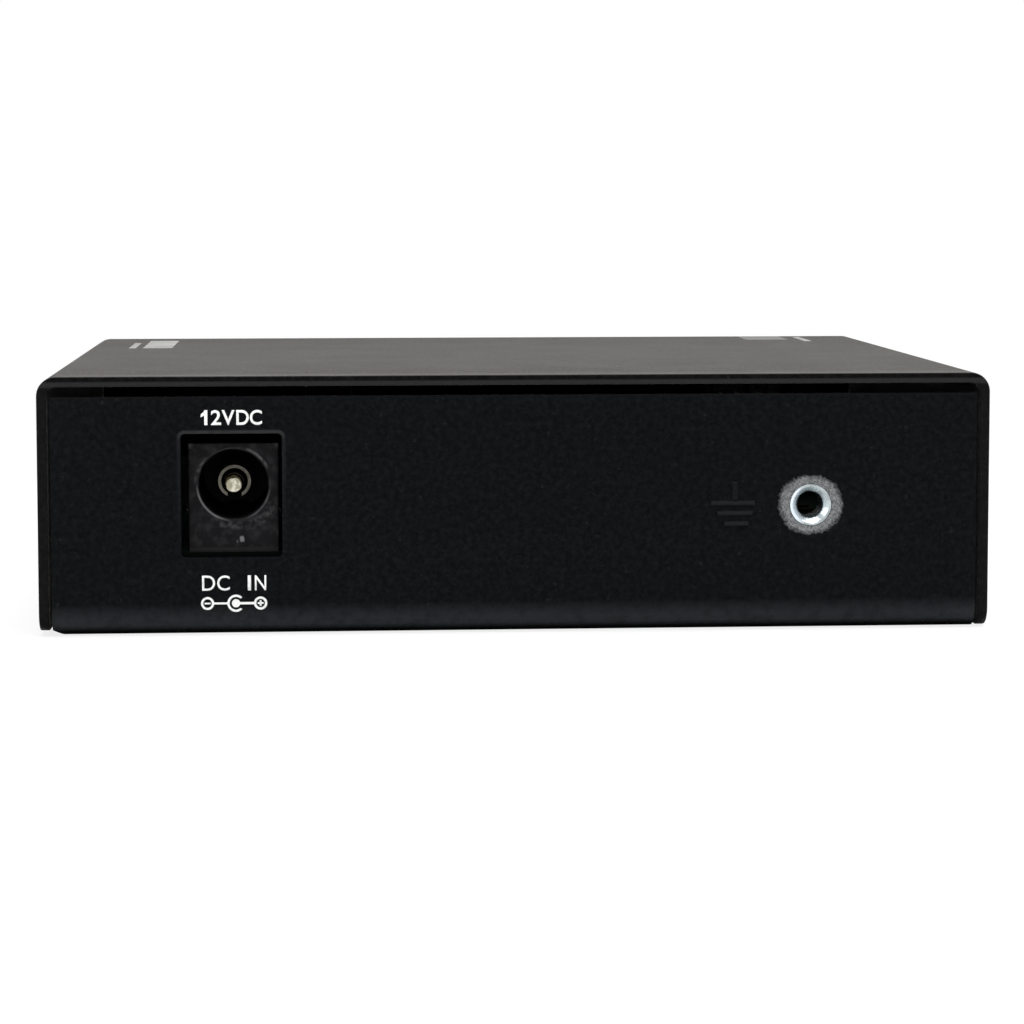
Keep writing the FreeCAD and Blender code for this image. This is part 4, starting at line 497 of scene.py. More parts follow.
def bare_ring(coat):
    """Bare zinc inside a ragged ring on the wall's face, over the powder coat."""
    centred = coat.add("ShaderNodeMapping", coat.place, (-NUT.x, 0.0, -NUT.z)).outputs["Vector"]
    flat = coat.add("ShaderNodeVectorMath", centred, (1.0, 0.0, RING_FLATNESS), operation="MULTIPLY")
    reach = coat.add("ShaderNodeVectorMath", flat.outputs["Vector"], operation="LENGTH").outputs["Value"]
    ragged = coat.ranged(coat.noise(3000.0, 0.25, 0.75, detail=4.0), 0.0, 1.0, -RAGGED, RAGGED)
    lobed = coat.ranged(coat.noise(420.0, 0.3, 0.7, detail=1.0), 0.0, 1.0, -LOBED, LOBED)
    edge = coat.math("ADD", coat.math("ADD", reach, ragged), lobed)
    inside = coat.ranged(edge, RING_RADIUS - 0.30 * MM, RING_RADIUS + 0.25 * MM, 1.0, 0.0)
    outer_face = coat.ranged(coat.axis("Y"), WALL_FACE + 0.05 * MM, WALL_FACE + 0.15 * MM, 1.0, 0.0)
    grains = coat.noise(6000.0, 0.50, 0.60, detail=3.0)
    bare = coat.product(inside, outer_face, coat.math("SUBTRACT", 1.0, coat.product(grains, 0.55)))
    coat.tint(bare, coat.blend(coat.noise(2600.0), ZINC_DULL, ZINC_BRIGHT))
    zinc_rough = coat.ranged(grains, 0.0, 1.0, 0.42, 0.6)
    coat.set("Roughness", coat.blend(bare, coat.driving("Roughness"), zinc_rough, "FLOAT"))
    coat.set("Metallic", coat.product(bare, 0.55))
    coat.bump(coat.math("SUBTRACT", 1.0, bare), 0.00006, 0.6)


bare_ring(tray_coat)
print("bare ring of", RING_RADIUS / MM, "mm radius at", in_mm(NUT), "mm")

# %% [markdown]
# ### Metals
# The screws have a black oxide, the nut, standoffs and shields are zinc plated, the pin and terminals
# nickel plated, the plug contacts gold plated and the capacitor's can is drawn aluminium. A metal differs
# from its neighbour in its tint, its roughness, its mottling and the direction of its fine marks, so one
# recipe takes those. The copper port's shell is painted dark inside the case as painted shade, and the nut's
# left flank is painted lighter as a painted highlight.

# %% Metals
def metal(name, tint, roughness, marks=(1.0, 1.0, 1.0), mottle=0.15):
    finish = Finish(name, tint, metallic=1.0)
    streaks = finish.noise(5200.0, 0.3, 0.7, detail=2.0, along=finish.stretched(marks))
    patches = finish.noise(900.0, 0.35, 0.65, detail=3.0)
    dull = tuple(channel * (1.0 - mottle) for channel in tint)
    finish.set("Base Color", finish.blend(patches, tint, dull))
    finish.set("Roughness", finish.ranged(streaks, 0.0, 1.0, roughness * 0.8, roughness * 1.25))
    finish.bump(streaks, 0.000004, 0.5)
    return finish


finishes["black_screw"] = metal("black_oxide", (0.022, 0.022, 0.025), 0.38).material
finishes["zinc_steel"] = metal("zinc_plate", (0.66, 0.67, 0.69), 0.28, mottle=0.25).material
finishes["nickel_brass"] = metal("nickel_plate", (0.76, 0.72, 0.62), 0.20).material
finishes["gold_contact"] = metal("gold_plate", (0.90, 0.66, 0.28), 0.22).material
finishes["can_aluminium"] = metal("drawn_can", (0.78, 0.78, 0.80), 0.30, marks=(1.0, 1.0, 12.0)).material
collar_metal = metal("dark_collar", (0.150, 0.140, 0.118), 0.34, mottle=0.5).material
port_plate = metal("port_plate", (0.66, 0.67, 0.69), 0.28, mottle=0.25)
port_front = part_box("copper_port_shell")[1].y
# painted shade on the shell's part inside the case
shade_inside_case = port_plate.ranged(port_plate.axis("Y"), port_front - 4.5 * MM, port_front - 4.0 * MM, 1.0, 0.0)
port_plate.tint(shade_inside_case, (0.004, 0.004, 0.004))
nut_plate = metal("nut_plate", (0.55, 0.61, 0.63), 0.28, mottle=0.4)
# painted highlight on the nut's left flank
painted_highlight_flank = nut_plate.ranged(nut_plate.axis("X"), NUT.x - 1.4 * MM, NUT.x - 0.6 * MM, 1.0, 0.0)
nut_plate.tint(painted_highlight_flank, (0.86, 0.94, 1.00))
print("8 metals")

# %% [markdown]
# ### Mouldings, board and chips
# Moulded plastic has a slight satin grain from its tool and soft flow marks. The circuit board is glass
# fibre under a green mask, with copper traces that show as paler green lines; its colours and its front edge
# are darkened as painted shade inside the case. Chips are moulded too, but drier. The lamp lenses are dark
# where they end inside, as painted shade, and faces in deep shade take a plain matt black.

# %% Mouldings
def moulding(name, tint, roughness=0.45, level=0.4, grain=0.00001, spread=0.25):
    finish = Finish(name, tint, specular_ior_level=level)
    flow = finish.noise(180.0, 0.3, 0.7, detail=3.0, distortion=0.6)
    skin = finish.noise(6000.0, 0.3, 0.7, detail=2.0)
    pale = tuple(min(1.0, channel * (1.0 + spread) + 0.002) for channel in tint)
    finish.set("Base Color", finish.blend(flow, tint, pale))
    uneven = finish.math("ADD", flow, skin)
    finish.set("Roughness", finish.ranged(uneven, 0.0, 2.0, roughness - 0.07, roughness + 0.1))
    finish.bump(skin, grain, 0.5)
    return finish


finishes["black_plastic"] = moulding("black_moulding", (0.012, 0.012, 0.013)).material
finishes["pale_plastic"] = moulding("pale_moulding", (0.70, 0.69, 0.65), spread=0.06).material
finishes["switch_blue"] = moulding("blue_moulding", (0.015, 0.07, 0.30), 0.38, spread=0.12).material
chip = moulding("chip_moulding", (0.010, 0.010, 0.011), 0.72, level=0.15, grain=0.00002)
finishes["chip_black"] = chip.material
finishes["white_ceramic"] = moulding("ceramic", (0.82, 0.82, 0.80), 0.16, spread=0.03).material
# brown ceramic darkened further as painted shade for the inside of the case
brown_ceramic_in_shade = moulding("brown_ceramic_in_shade", (0.050, 0.042, 0.034), 0.5, level=0.1).material
lens = moulding("lamp_lens", (0.30, 0.55, 0.24), 0.14, level=0.5, spread=0.2)
lens_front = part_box("lamp_lenses")[1].y
unlit = lens.ranged(lens.axis("Y"), lens_front - 3.0 * MM, lens_front - 2.0 * MM, 1.0, 0.0)
lens.tint(unlit, (0.01, 0.02, 0.01))
finishes["lamp_lens"] = lens.material
shaded = Finish("shaded_black", (0.0012, 0.0012, 0.0013), specular_ior_level=0.0, roughness=1.0)
SHADE, SHADE_LIT = (0.0008, 0.0008, 0.0009), (0.0020, 0.0020, 0.0021)
shaded.set("Base Color", shaded.blend(shaded.noise(900.0), SHADE, SHADE_LIT))
print("7 mouldings and a matt black")

# %% Board
BOARD_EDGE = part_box("main_board")[0].y
# the board's colours are darker than bare solder mask: partly painted shade for the inside of the case
MASK, MASK_LIT, TRACE = (0.002, 0.014, 0.006), (0.003, 0.018, 0.008), (0.005, 0.036, 0.015)
SHADED_EDGE = (0.0002, 0.0010, 0.0012)


def solder_mask():
    finish = Finish("solder_mask", MASK, specular_ior_level=0.08, roughness=0.45)
    colors = [(*color, 1.0) for color in (MASK, MASK_LIT, TRACE)]
    traces = finish.add("ShaderNodeTexBrick", finish.place, *colors)
    traces.inputs["Scale"].default_value = 260.0
    traces.inputs["Mortar Size"].default_value = 0.02
    # painted shade on the board's front edge
    shaded_board_edge = finish.ranged(finish.axis("Y"), BOARD_EDGE + 0.02 * MM, BOARD_EDGE + 0.05 * MM, 1.0, 0.0)
    finish.set("Base Color", finish.blend(shaded_board_edge, traces.outputs["Color"], SHADED_EDGE))
    finish.bump(finish.noise(2500.0), 0.00001, 0.4)
    return finish.material


finishes["board_green"] = solder_mask()
print("board")

# %% [markdown]
# ### The inlet's plastic, its scuffs and painted light
# Plugs have scraped the inlet: pale lines follow the rim of its mouth, mostly low at the left and high at
# the right, where they are also painted highlights of the mouth's chamfer. Smears lie under it, and a grain
# of dust sits further down. Each mark is an arc round the socket's axis, with a radius, a width, a heading
# and a reach, and noise breaks it up. Painted highlights lie on the block's top corners and lower edge, and
# the bore is darkened as painted shade.

# %% Scuffed plastic of the inlet
SOCKET = front_middle("dc_jack_pin")
JACK_HALF = (jack_high.x - jack_low.x) / 2
INLET_BLACK = (0.0028, 0.0025, 0.0032)
MOUTH_RADIUS = 3.54 * MM
# the arcs on the mouth's rim are scrapes and painted highlights of its chamfer; the wider ones below are
# smears, the last two dust
# each arc: radius and half width in mm, heading and half angle in degrees (0 right, 90 up), strength, and how
# far it is broken up
SCUFFS_AND_HIGHLIGHTS = (
    (3.63, 0.13, 222.0, 33.0, 0.85, 0.25),
    (3.63, 0.12, -38.0, 27.0, 0.50, 0.5),
    (3.74, 0.18, 50.0, 20.0, 0.70, 0.8),
    (3.76, 0.20, 155.0, 19.0, 0.40, 0.9),
    (3.62, 0.07, 105.0, 35.0, 0.14, 0.4),
    (4.05, 0.60, -95.0, 23.0, 0.30, 1.0),
    (4.40, 0.80, -50.0, 21.0, 0.26, 1.0),
    (5.53, 0.36, -81.7, 2.0, 1.2, 0.0),
    (5.73, 0.22, -86.6, 1.0, 0.30, 0.0),
)


def plastic_with_scuffs_and_highlights():
    finish = moulding("moulding_with_scuffs_and_highlights", INLET_BLACK, 0.40, level=0.07, grain=0.00002, spread=0.4)
    across, up, reach = finish.around(SOCKET.x, SOCKET.z)
    depth, height = finish.axis("Y"), finish.axis("Z")
    broken = finish.noise(1600.0, 0.42, 0.70, detail=7.0, distortion=0.3)
    blotches = finish.noise(900.0, 0.48, 0.78, detail=7.0)
    in_front = finish.ranged(depth, jack_low.y + 0.20 * MM, jack_low.y + 0.35 * MM, 1.0, 0.0)
    total = None
    for radius, half_width, heading, half_angle, strength, breaks in SCUFFS_AND_HIGHLIGHTS:
        turn, spread = math.radians(heading), math.radians(half_angle)
        rightward, upward = finish.product(across, math.cos(turn)), finish.product(up, math.sin(turn))
        toward = finish.math("ADD", rightward, upward)
        nearness = finish.math("DIVIDE", toward, reach)
        side = finish.ranged(nearness, math.cos(spread * 1.3), math.cos(spread * 0.6))
        off = finish.math("ABSOLUTE", finish.math("SUBTRACT", reach, radius * MM))
        line = finish.ranged(off, half_width * 0.4 * MM, half_width * MM, strength, 0.0)
        mark = finish.product(side, line)
        if breaks:
            mark = finish.product(mark, finish.ranged(broken, 0.0, 1.0, 1.0 - breaks, 1.0))
        total = mark if total is None else finish.math("MAXIMUM", total, mark)
    # painted highlights on the block's lower edge and top corners
    along_foot = finish.ranged(height, jack_low.z + 0.38 * MM, jack_low.z + 0.60 * MM, 1.0, 0.0)
    jack_middle = (jack_low.x + jack_high.x) / 2
    off_middle = finish.math("ABSOLUTE", finish.math("SUBTRACT", finish.axis("X"), jack_middle))
    in_corner = finish.product(
        finish.ranged(off_middle, JACK_HALF - 0.60 * MM, JACK_HALF - 0.15 * MM),
        finish.ranged(height, jack_high.z - 0.65 * MM, jack_high.z - 0.20 * MM),
    )
    for mark, strength in ((along_foot, 0.07), (in_corner, 0.25), (blotches, 0.12)):
        total = finish.math("MAXIMUM", total, finish.product(mark, strength))
    pale = finish.math("MINIMUM", finish.product(total, in_front), 1.0)
    # painted shade darkens the bore behind the mouth
    inside = finish.product(
        finish.ranged(reach, MOUTH_RADIUS, MOUTH_RADIUS + 0.05 * MM, 1.0, 0.0),
        finish.ranged(depth, jack_low.y + 0.2 * MM, jack_low.y + 1.2 * MM),
    )
    finish.tint(finish.product(inside, 0.85), (0.0015, 0.0015, 0.0016))
    finish.tint(pale, (0.13, 0.13, 0.135))
    finish.bump(pale, 0.00002, 0.4)
    return finish.material


finishes["jack_plastic"] = plastic_with_scuffs_and_highlights()
print("socket axis at", in_mm(SOCKET), "mm")

# %% [markdown]
# ## Rounding the edges
# A CAD solid's edges are knife sharp, and nothing real is. Sheet metal keeps a small radius that the powder
# fills out, and mouldings have draft and radii too; those thin roundings catch the light and draw the
# object's lines. A Bevel modifier could round them, but a bmesh operator can give each group of edges its
# own width, and what it makes is plain geometry that exports as it is.

# %% From shape to piece
def rounded(shape, edges, width, steps):
    """These edges bevelled, with round profiles."""
    bmesh.ops.bevel(
        shape, geom=edges, offset=width, offset_type="OFFSET", segments=steps, profile=0.5,
        affect="EDGES", material=-1, clamp_overlap=True, loop_slide=False,
    )


def placed(name, shape, finish, node=None, sharp=None):
    """The shape as a piece that stands for a CAD node, or else rides the case.

    With a sharp angle, edges flatter than that angle are shaded smooth.
    """
    mesh = bpy.data.meshes.new(name)
    shape.to_mesh(mesh)
    shape.free()
    mesh.materials.append(finish)
    if sharp is not None:
        mesh.shade_smooth()
        mesh.set_sharp_from_angle(angle=sharp)
    piece = linked(name, mesh)
    if node is None:
        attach(piece, "case")
    else:
        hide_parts(node)
        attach(piece, body_of_node[node])
    return piece


print("helpers for pieces")

# %% [markdown]
# ### Soft copies
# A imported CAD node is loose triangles, so a copy is welded and its flat faces are joined before its sharp
# edges are bevelled. The copy then stands for the node in the picture.

# %% Soft copy of a CAD node
SHARP = math.radians(28)
FLAT = math.radians(0.5)
WELD = 0.002 * MM


def soft_copy(name, node, roundings, steps=2, finish=None, other=None):
    """A welded, bevelled copy of a CAD node.

    Roundings are one width, or pairs of a width and a test for the edges that take it. Other is a second
    finish and a test for the faces that take it.
    """
    shape = bmesh.new()
    shape.from_mesh(frame["nodes"][node].data)
    bmesh.ops.remove_doubles(shape, verts=shape.verts, dist=WELD)
    bmesh.ops.dissolve_limit(shape, angle_limit=FLAT, verts=shape.verts, edges=shape.edges)
    if isinstance(roundings, float):
        roundings = [(roundings, lambda edge: True)]
    for width, wanted in roundings:
        edges = [
            edge for edge in shape.edges
            if len(edge.link_faces) == 2 and edge.calc_face_angle(0.0) > SHARP and wanted(edge)
        ]
        if edges:
            rounded(shape, edges, width, steps)
    bmesh.ops.triangulate(shape, faces=[face for face in shape.faces if len(face.verts) > 4])
    piece = placed(name, shape, finish or finishes[slot_of_node[node]], node, SHARP)
    if other:
        other_finish, takes_it = other
        piece.data.materials.append(other_finish)
        for face in piece.data.polygons:
            face.material_index = int(takes_it(face))
    return piece


print("soft_copy ready")

# %% [markdown]
# ## The case
# The tray's bends and cut edges keep a radius of about a tenth of a millimetre under the powder. The window
# round the inlet was punched from inside, so its front rim is rounder. The cover is folded over the tray
# and its own edge is the thin pale line under the top's near edge.

# %% Tray and cover
ON_FACE, NEAR = 0.01 * MM, 0.1 * MM


def round_window(edge):
    """True for the front rim of the window that the inlet looks through."""
    middle = (edge.verts[0].co + edge.verts[1].co) / 2
    return (
        all(abs(vert.co.y - WALL_FACE) < ON_FACE for vert in edge.verts)
        and WINDOW_LEFT - NEAR < middle.x < WINDOW_RIGHT + NEAR
        and WINDOW_FOOT - NEAR < middle.z < WINDOW_TOP + NEAR
    )


def elsewhere(edge):
    return not round_window(edge)


TRAY_EDGES = [(0.35 * MM, round_window), (0.12 * MM, elsewhere)]
tray = soft_copy("case_tray", "base_tray", TRAY_EDGES, finish=tray_coat.material)
cover = soft_copy("case_cover", "top_cover", 0.25 * MM, steps=3, finish=cover_coat.material)
for piece in (tray, cover):
    print(piece.name, len(piece.data.polygons), "faces")

# %% [markdown]
# ## The power side's fittings
# The inlet's moulded block, its spring, the pin and the nut are small, so their bevels are finer. The same
# goes for the screws and the ports on the far side. Faces that only show through the slot under the cover
# or in the gap round the inlet lie in deep shade, so they take a matt black.

# %% Faces in the shade
def behind_inlet(face):
    """True for the inlet block's outer faces behind its front."""
    reach = math.hypot(face.center.x - SOCKET.x, face.center.z - SOCKET.z)
    return face.center.y > jack_low.y + 0.35 * MM and reach > MOUTH_RADIUS - 0.08 * MM


def back(face):
    """True for faces that look back into the case."""
    return face.normal.y < -0.5


fibre_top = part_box("fibre_port_housing")[1].z


def top_or_back(face):
    """True for the fibre port's top and for its faces that look back into the case."""
    return (face.normal.z > 0.3 and face.center.z > fibre_top - 1.0 * MM) or back(face)


OWN_FINISH = {"copper_port_shell": port_plate.material, "ground_nut": nut_plate.material}
IN_SHADE = {
    "dc_jack_housing": behind_inlet, "fibre_port_housing": top_or_back,
    "copper_port_shell": back, "lamp_holder": back,
}
print(len(IN_SHADE), "parts with faces in the shade")

# %% Small parts
for name, node, width, steps in (
    ("inlet_block", "dc_jack_housing", 0.20, 2),
    ("inlet_spring", "dc_jack_spring", 0.05, 1),
    ("earth_nut", "ground_nut", 0.10, 2),
    ("side_screws", "case_screws", 0.06, 1),
    ("copper_shell", "copper_port_shell", 0.10, 2),
    ("copper_body", "copper_port_housing", 0.10, 1),
    ("fibre_body", "fibre_port_housing", 0.18, 2),
    ("bank_body", "switch_base", 0.08, 1),
    ("bank_top", "switch_cover", 0.10, 2),
    ("lamp_block", "lamp_holder", 0.08, 1),
    ("chip_body", "controller_chip", 0.10, 1),
    ("transformer_body", "line_transformer", 0.12, 1),
):
    other = (shaded.material, IN_SHADE[node]) if node in IN_SHADE else None
    piece = soft_copy(name, node, width * MM, steps, finish=OWN_FINISH.get(node), other=other)
    print(name, len(piece.data.polygons))
for number in range(1, 5):
    soft_copy(f"lever_cap_{number}", f"switch_lever_{number}", 0.10 * MM, 2)

# %% [markdown]
# ### Metal of the pin
# The pin's tip is what catches the light inside the dark socket. Its bright spot low on the tip is a
# painted reflection of the pale floor and the metal round it is darkened as painted shade, so the mask is the
# distance from a point low on the tip, shaken by a few facets.

# %% Metal of the pin
def tip_metal():
    """Nickel with a painted reflection low on the tip and painted shade with a few facets above and round it.
    """
    finish = Finish("polished_pin", (0.52, 0.50, 0.40), metallic=1.0)
    _, _, reach = finish.around(SOCKET.x + 0.02 * MM, SOCKET.z - 0.14 * MM)
    facets = finish.noise(2300.0, 0.40, 0.60, detail=1.0)
    shaken = finish.math("ADD", reach, finish.product(facets, 0.12 * MM))
    # painted reflection low on the tip, painted shade round it
    shade_round_glint = finish.ranged(shaken, 0.72 * MM, 0.84 * MM)
    color = finish.blend(facets, (0.34, 0.32, 0.24), (0.68, 0.66, 0.55))
    finish.set("Base Color", finish.blend(shade_round_glint, color, (0.030, 0.026, 0.014)))
    finish.set("Roughness", finish.ranged(facets, 0.0, 1.0, 0.14, 0.26))
    finish.bump(facets, 0.00002, 0.6)
    return finish.material


pin_metal = tip_metal()
print("pin metal")

# %% [markdown]
# ### Pin and collar
# The pin's tip is domed with a small dimple. It could be a bevelled cylinder, but the dimple is easier to
# draw as part of a profile, which is then spun round the socket's axis. The collar is a soft copy of its
# CAD node in a dark metal.

# %% Pin and collar
SPIN_STEPS = 48
SPUN_SHARP = math.radians(40)
POLE_WELD = 0.0001 * MM
# the dimple's radius and the rounding of the tip in mm, and how far the rounding is drawn out along the pin
TIP_DIMPLE, TIP_ROUND, DRAWN_OUT = 0.24, 0.30, 1.6


def spun(name, profile, finish, node):
    """A profile of (radius, depth from the wall's face) in mm spun round the socket's axis."""
    shape = bmesh.new()
    verts = [
        shape.verts.new((SOCKET.x + radius * MM, WALL_FACE + depth * MM, SOCKET.z))
        for radius, depth in profile
    ]
    edges = [shape.edges.new(pair) for pair in zip(verts, verts[1:])]
    bmesh.ops.spin(
        shape, geom=verts + edges, cent=SOCKET, axis=(0.0, 1.0, 0.0), angle=2 * math.pi, steps=SPIN_STEPS,
        use_merge=True,
    )
    bmesh.ops.remove_doubles(shape, verts=shape.verts, dist=POLE_WELD)
    bmesh.ops.recalc_face_normals(shape, faces=shape.faces)
    return placed(name, shape, finish, node, SPUN_SHARP)


pin_low, pin_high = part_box("dc_jack_pin")
pin_radius = (pin_high.x - pin_low.x) / 2 / MM
pin_start = (pin_low.y - WALL_FACE) / MM
pin_end = (pin_high.y - WALL_FACE) / MM
round_start, round_foot = pin_radius - TIP_ROUND, pin_start + 0.03
shoulder = [math.radians(angle) for angle in (15, 35, 55, 75, 90)]
spun("inlet_pin", [
    (0.0, pin_start + 0.10), (TIP_DIMPLE * 0.6, pin_start + 0.07), (TIP_DIMPLE, pin_start + 0.02),
    (TIP_DIMPLE + 0.06, pin_start), (round_start, round_foot),
    *(
        (
            pin_radius - TIP_ROUND * (1 - math.sin(turn)),
            round_foot + DRAWN_OUT * TIP_ROUND * (1 - math.cos(turn)),
        )
        for turn in shoulder
    ),
    (pin_radius, pin_end), (0.0, pin_end),
], pin_metal, "dc_jack_pin")
soft_copy("inlet_collar", "dc_jack_collar", 0.06 * MM, 1, finish=collar_metal)
print("pin radius", round(pin_radius, 2), "from", round(pin_start, 2), "to", round(pin_end, 2), "mm deep")

# %% [markdown]
# ## Print and stamp on the power side
# Printed marks are a film of white ink. Its edge is a little uneven and its surface slightly chalky. The
# labels on the top are duller, and the broad bar of the right one has rubbed darker.

# %% Ink
def ink():
    finish = Finish("white_ink", (0.84, 0.84, 0.83), specular_ior_level=0.3)
    speckle = finish.noise(5200.0, 0.30, 0.52, detail=3.0)
    finish.set("Base Color", finish.blend(speckle, (0.60, 0.60, 0.60), (0.86, 0.86, 0.85)))
    finish.set("Roughness", finish.ranged(speckle, 0.0, 1.0, 0.62, 0.45))
    finish.bump(speckle, 0.00001, 0.5)
    return finish.material


white_ink = ink()
pale_ink = moulding("pale_print", (0.185, 0.183, 0.177), 0.6, level=0.1, spread=0.45)
rubbed = pale_ink.band(pale_ink.axis("X"), 0.0, 10.0 * MM, 38.0 * MM, 38.5 * MM)
pale_ink.tint(rubbed, (0.118, 0.117, 0.114))
print("white and pale ink")

# %% [markdown]
# ### Flat pieces
# The film is a fiftieth of a millimetre thick. A pattern in the wall's finish could stand for it, but real
# faces keep their outlines sharp from close by and export as pieces of their own.

# %% Flat pieces
# thickness, and what counts as one place, in mm
INK, SAME_PLACE = 0.02, 0.0005


def flat_piece(name, shape, finish, thickness=INK, bevel=0.0):
    """Faces drawn in mm in the x, z plane, made solid and laid on the wall's face."""
    bmesh.ops.remove_doubles(shape, verts=shape.verts, dist=SAME_PLACE)
    made = bmesh.ops.extrude_face_region(shape, geom=list(shape.faces))
    front = [item for item in made["geom"] if isinstance(item, bmesh.types.BMVert)]
    bmesh.ops.translate(shape, verts=front, vec=(0.0, -thickness, 0.0))
    bmesh.ops.recalc_face_normals(shape, faces=shape.faces)
    if bevel:
        rim = [
            edge for edge in shape.edges
            if all(abs(vert.co.y + thickness) < 2 * SAME_PLACE for vert in edge.verts)
        ]
        rounded(shape, rim, bevel, 3)
    bmesh.ops.scale(shape, vec=(MM, MM, MM), verts=shape.verts)
    bmesh.ops.translate(shape, verts=shape.verts, vec=(0.0, WALL_FACE, 0.0))
    return placed(name, shape, finish)


def bar(shape, left, low, right, high):
    """A rectangle in mm."""
    corners = [(left, low), (right, low), (right, high), (left, high)]
    shape.faces.new([shape.verts.new((x, 0.0, z)) for x, z in corners])


def ring(shape, x, z, inner, outer, start=0.0, end=360.0, steps=32):
    """A ring, or a part of one between two angles in degrees, counted from the right and upwards."""
    turns = [math.radians(start + (end - start) * step / steps) for step in range(steps + 1)]
    for near, far in zip(turns, turns[1:]):
        corners = [(inner, near), (outer, near), (outer, far), (inner, far)]
        if inner == 0.0:
            corners = corners[1:]
        shape.faces.new([
            shape.verts.new((x + radius * math.cos(turn), 0.0, z + radius * math.sin(turn)))
            for radius, turn in corners
        ])


print("helpers for flat pieces")

# %% [markdown]
# ### Letters
# Letters are made with the built-in font and turned into meshes. The font's letters are a little wider or
# narrower than the printed ones, so each is fitted to a box of its own.

# %% Letters
def letters(name, text, boxes, weight):
    """Letters of the built-in font, each fitted to its own box (left, low, right, high) in mm."""
    shape = bmesh.new()
    for letter, (left, low, right, high) in zip(text, boxes):
        curve = bpy.data.curves.new("letter", "FONT")
        curve.body = letter
        curve.offset = weight
        curve.resolution_u = 6
        written = linked("letter", curve)
        bpy.context.view_layer.update()
        evaluated = written.evaluated_get(bpy.context.evaluated_depsgraph_get())
        mesh = bpy.data.meshes.new_from_object(evaluated)
        xs = [vert.co.x for vert in mesh.vertices]
        ys = [vert.co.y for vert in mesh.vertices]
        wide, tall = max(xs) - min(xs), max(ys) - min(ys)
        for vert in mesh.vertices:
            x = left + (vert.co.x - min(xs)) / wide * (right - left)
            z = low + (vert.co.y - min(ys)) / tall * (high - low)
            vert.co = (x, 0.0, z)
        shape.from_mesh(mesh)
        bpy.data.objects.remove(written)
        bpy.data.curves.remove(curve)
        bpy.data.meshes.remove(mesh)
    return flat_piece(name, shape, white_ink)


# the left and right end of each letter, and then the line's foot and top, in mm
SUPPLY = [(-30.40, -29.39), (-29.34, -28.06), (-27.90, -26.66), (-26.57, -25.37)]
letters("mark_supply", "2VDC", [(left, 20.99, right, 22.47) for left, right in SUPPLY], 0.016)
INLET = [(-31.41, -30.12), (-29.92, -28.67), (-26.90, -26.57), (-26.20, -25.07)]
letters("mark_inlet", "DCIN", [(left, 4.52, right, 6.02) for left, right in INLET], 0.004)
one = bmesh.new()
bar(one, -31.05, 20.99, -30.74, 22.47)
one.faces.new([one.verts.new((x, 0.0, z)) for x, z in (
    (-31.40, 21.76), (-31.05, 21.95), (-31.05, 22.36), (-31.40, 22.04),
)])
flat_piece("mark_supply_one", one, white_ink)
print("letters")

# %% [markdown]
# ### Polarity sign
# The sign is drawn from bars, discs and rings: the socket's outside is negative and its pin positive.

# %% Polarity sign
# the height of the sign's middle, in mm
SIGN = 3.24
sign = bmesh.new()
ring(sign, -30.88, SIGN, 0.43, 0.65)
bar(sign, -31.18, SIGN - 0.08, -30.58, SIGN + 0.08)
bar(sign, -30.24, SIGN - 0.10, -28.90, SIGN + 0.10)
ring(sign, -28.07, SIGN, 0.64, 0.86, 45.0, 315.0)
ring(sign, -28.07, SIGN, 0.0, 0.41)
bar(sign, -27.68, SIGN - 0.12, -26.28, SIGN + 0.12)
ring(sign, -25.64, SIGN, 0.43, 0.66)
bar(sign, -25.93, SIGN - 0.09, -25.35, SIGN + 0.09)
bar(sign, -25.73, SIGN + 0.09, -25.55, SIGN + 0.29)
bar(sign, -25.73, SIGN - 0.29, -25.55, SIGN - 0.09)
flat_piece("mark_polarity", sign, white_ink)
print("polarity sign")

# %% [markdown]
# ### Earth sign
# The earth sign left of the nut is stamped in the wall and wears the same powder. It stands out by about a
# sixth of a millimetre and its rims are round, and a paler band along each bar, fainter on the upright, is a
# painted highlight.

# %% Earth sign
# each bar: left, right and height in mm
EARTH_BARS = ((19.32, 23.78, 12.8), (19.96, 23.54, 11.8), (20.67, 23.12, 10.73))
# the upright's middle and upper end, and half the width of a stroke, in mm
UPRIGHT, UPPER_END, STROKE = 21.75, 15.0, 0.30
BAR_HIGHLIGHT = (0.013, 0.014, 0.015)
stamped = powder_coat("powder_coat_stamped")
stamped_height = stamped.axis("Z")
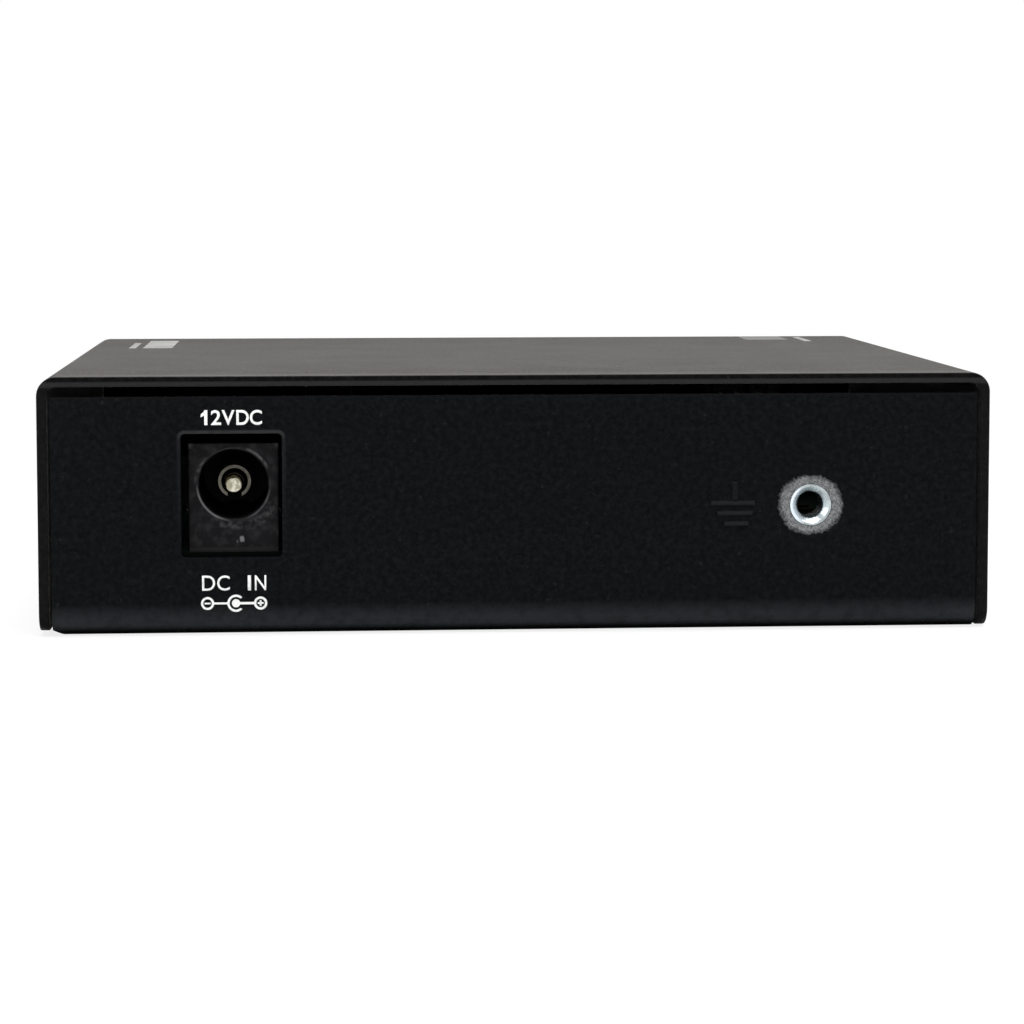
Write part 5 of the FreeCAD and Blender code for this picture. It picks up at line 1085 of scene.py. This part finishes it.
# painted highlight along each bar and, fainter, on the upright
for _, _, level_at in EARTH_BARS:
    off_bar = stamped.math("ABSOLUTE", stamped.math("SUBTRACT", stamped_height, (level_at + 0.06) * MM))
    stamped.tint(stamped.ranged(off_bar, 0.02 * MM, 0.29 * MM, 0.85, 0.0), BAR_HIGHLIGHT)
on_upright = stamped.product(stamped.ranged(stamped_height, 13.1 * MM, 13.3 * MM), 0.35)
stamped.tint(on_upright, BAR_HIGHLIGHT)
earth = bmesh.new()
bar(earth, UPRIGHT - STROKE, EARTH_BARS[0][2] + STROKE, UPRIGHT + STROKE, UPPER_END)
for left, right, level_at in EARTH_BARS:
    bar(earth, left, level_at - STROKE, right, level_at + STROKE)
flat_piece("mark_earth", earth, stamped.material, thickness=0.16, bevel=0.15)
print("earth sign")

# %% [markdown]
# ### Labels on the top
# Near the far edge of the top lie two printed labels. They are given as plain pale bars.

# %% Pale bars
for name, bars in (
    ("bars_left", ((-41.9, 14.5, -41.1, 26.0), (-40.3, 14.5, -36.9, 31.0))),
    ("bars_right", ((32.3, 27.5, 37.5, 36.0), (38.9, 24.0, 39.8, 34.0))),
):
    shape = bmesh.new()
    for left, near_end, right, far_end in bars:
        made = bmesh.ops.create_cube(shape, size=1.0)["verts"]
        bmesh.ops.scale(shape, vec=((right - left) * MM, (far_end - near_end) * MM, INK * MM), verts=made)
        middle = ((left + right) / 2 * MM, (near_end + far_end) / 2 * MM, cad_high.z + INK / 2 * MM)
        bmesh.ops.translate(shape, vec=middle, verts=made)
    placed(name, shape, pale_ink.material)
print("2 labels")

# %% [markdown]
# ## Finishes for the parts left as they came
# The board and the parts on it keep their CAD shape, and only take the finish of their slot. The chip
# components share a slot with the switches' levers, but they are brown ceramic, darkened as painted shade.

# %% Inner parts
dressed = 0
for node, part in frame["nodes"].items():
    if not part.hide_render:
        finish = brown_ceramic_in_shade if node == "chip_components" else finishes[slot_of_node[node]]
        part.data.materials.clear()
        part.data.materials.append(finish)
        dressed += 1
print(dressed, "CAD nodes keep their shape")
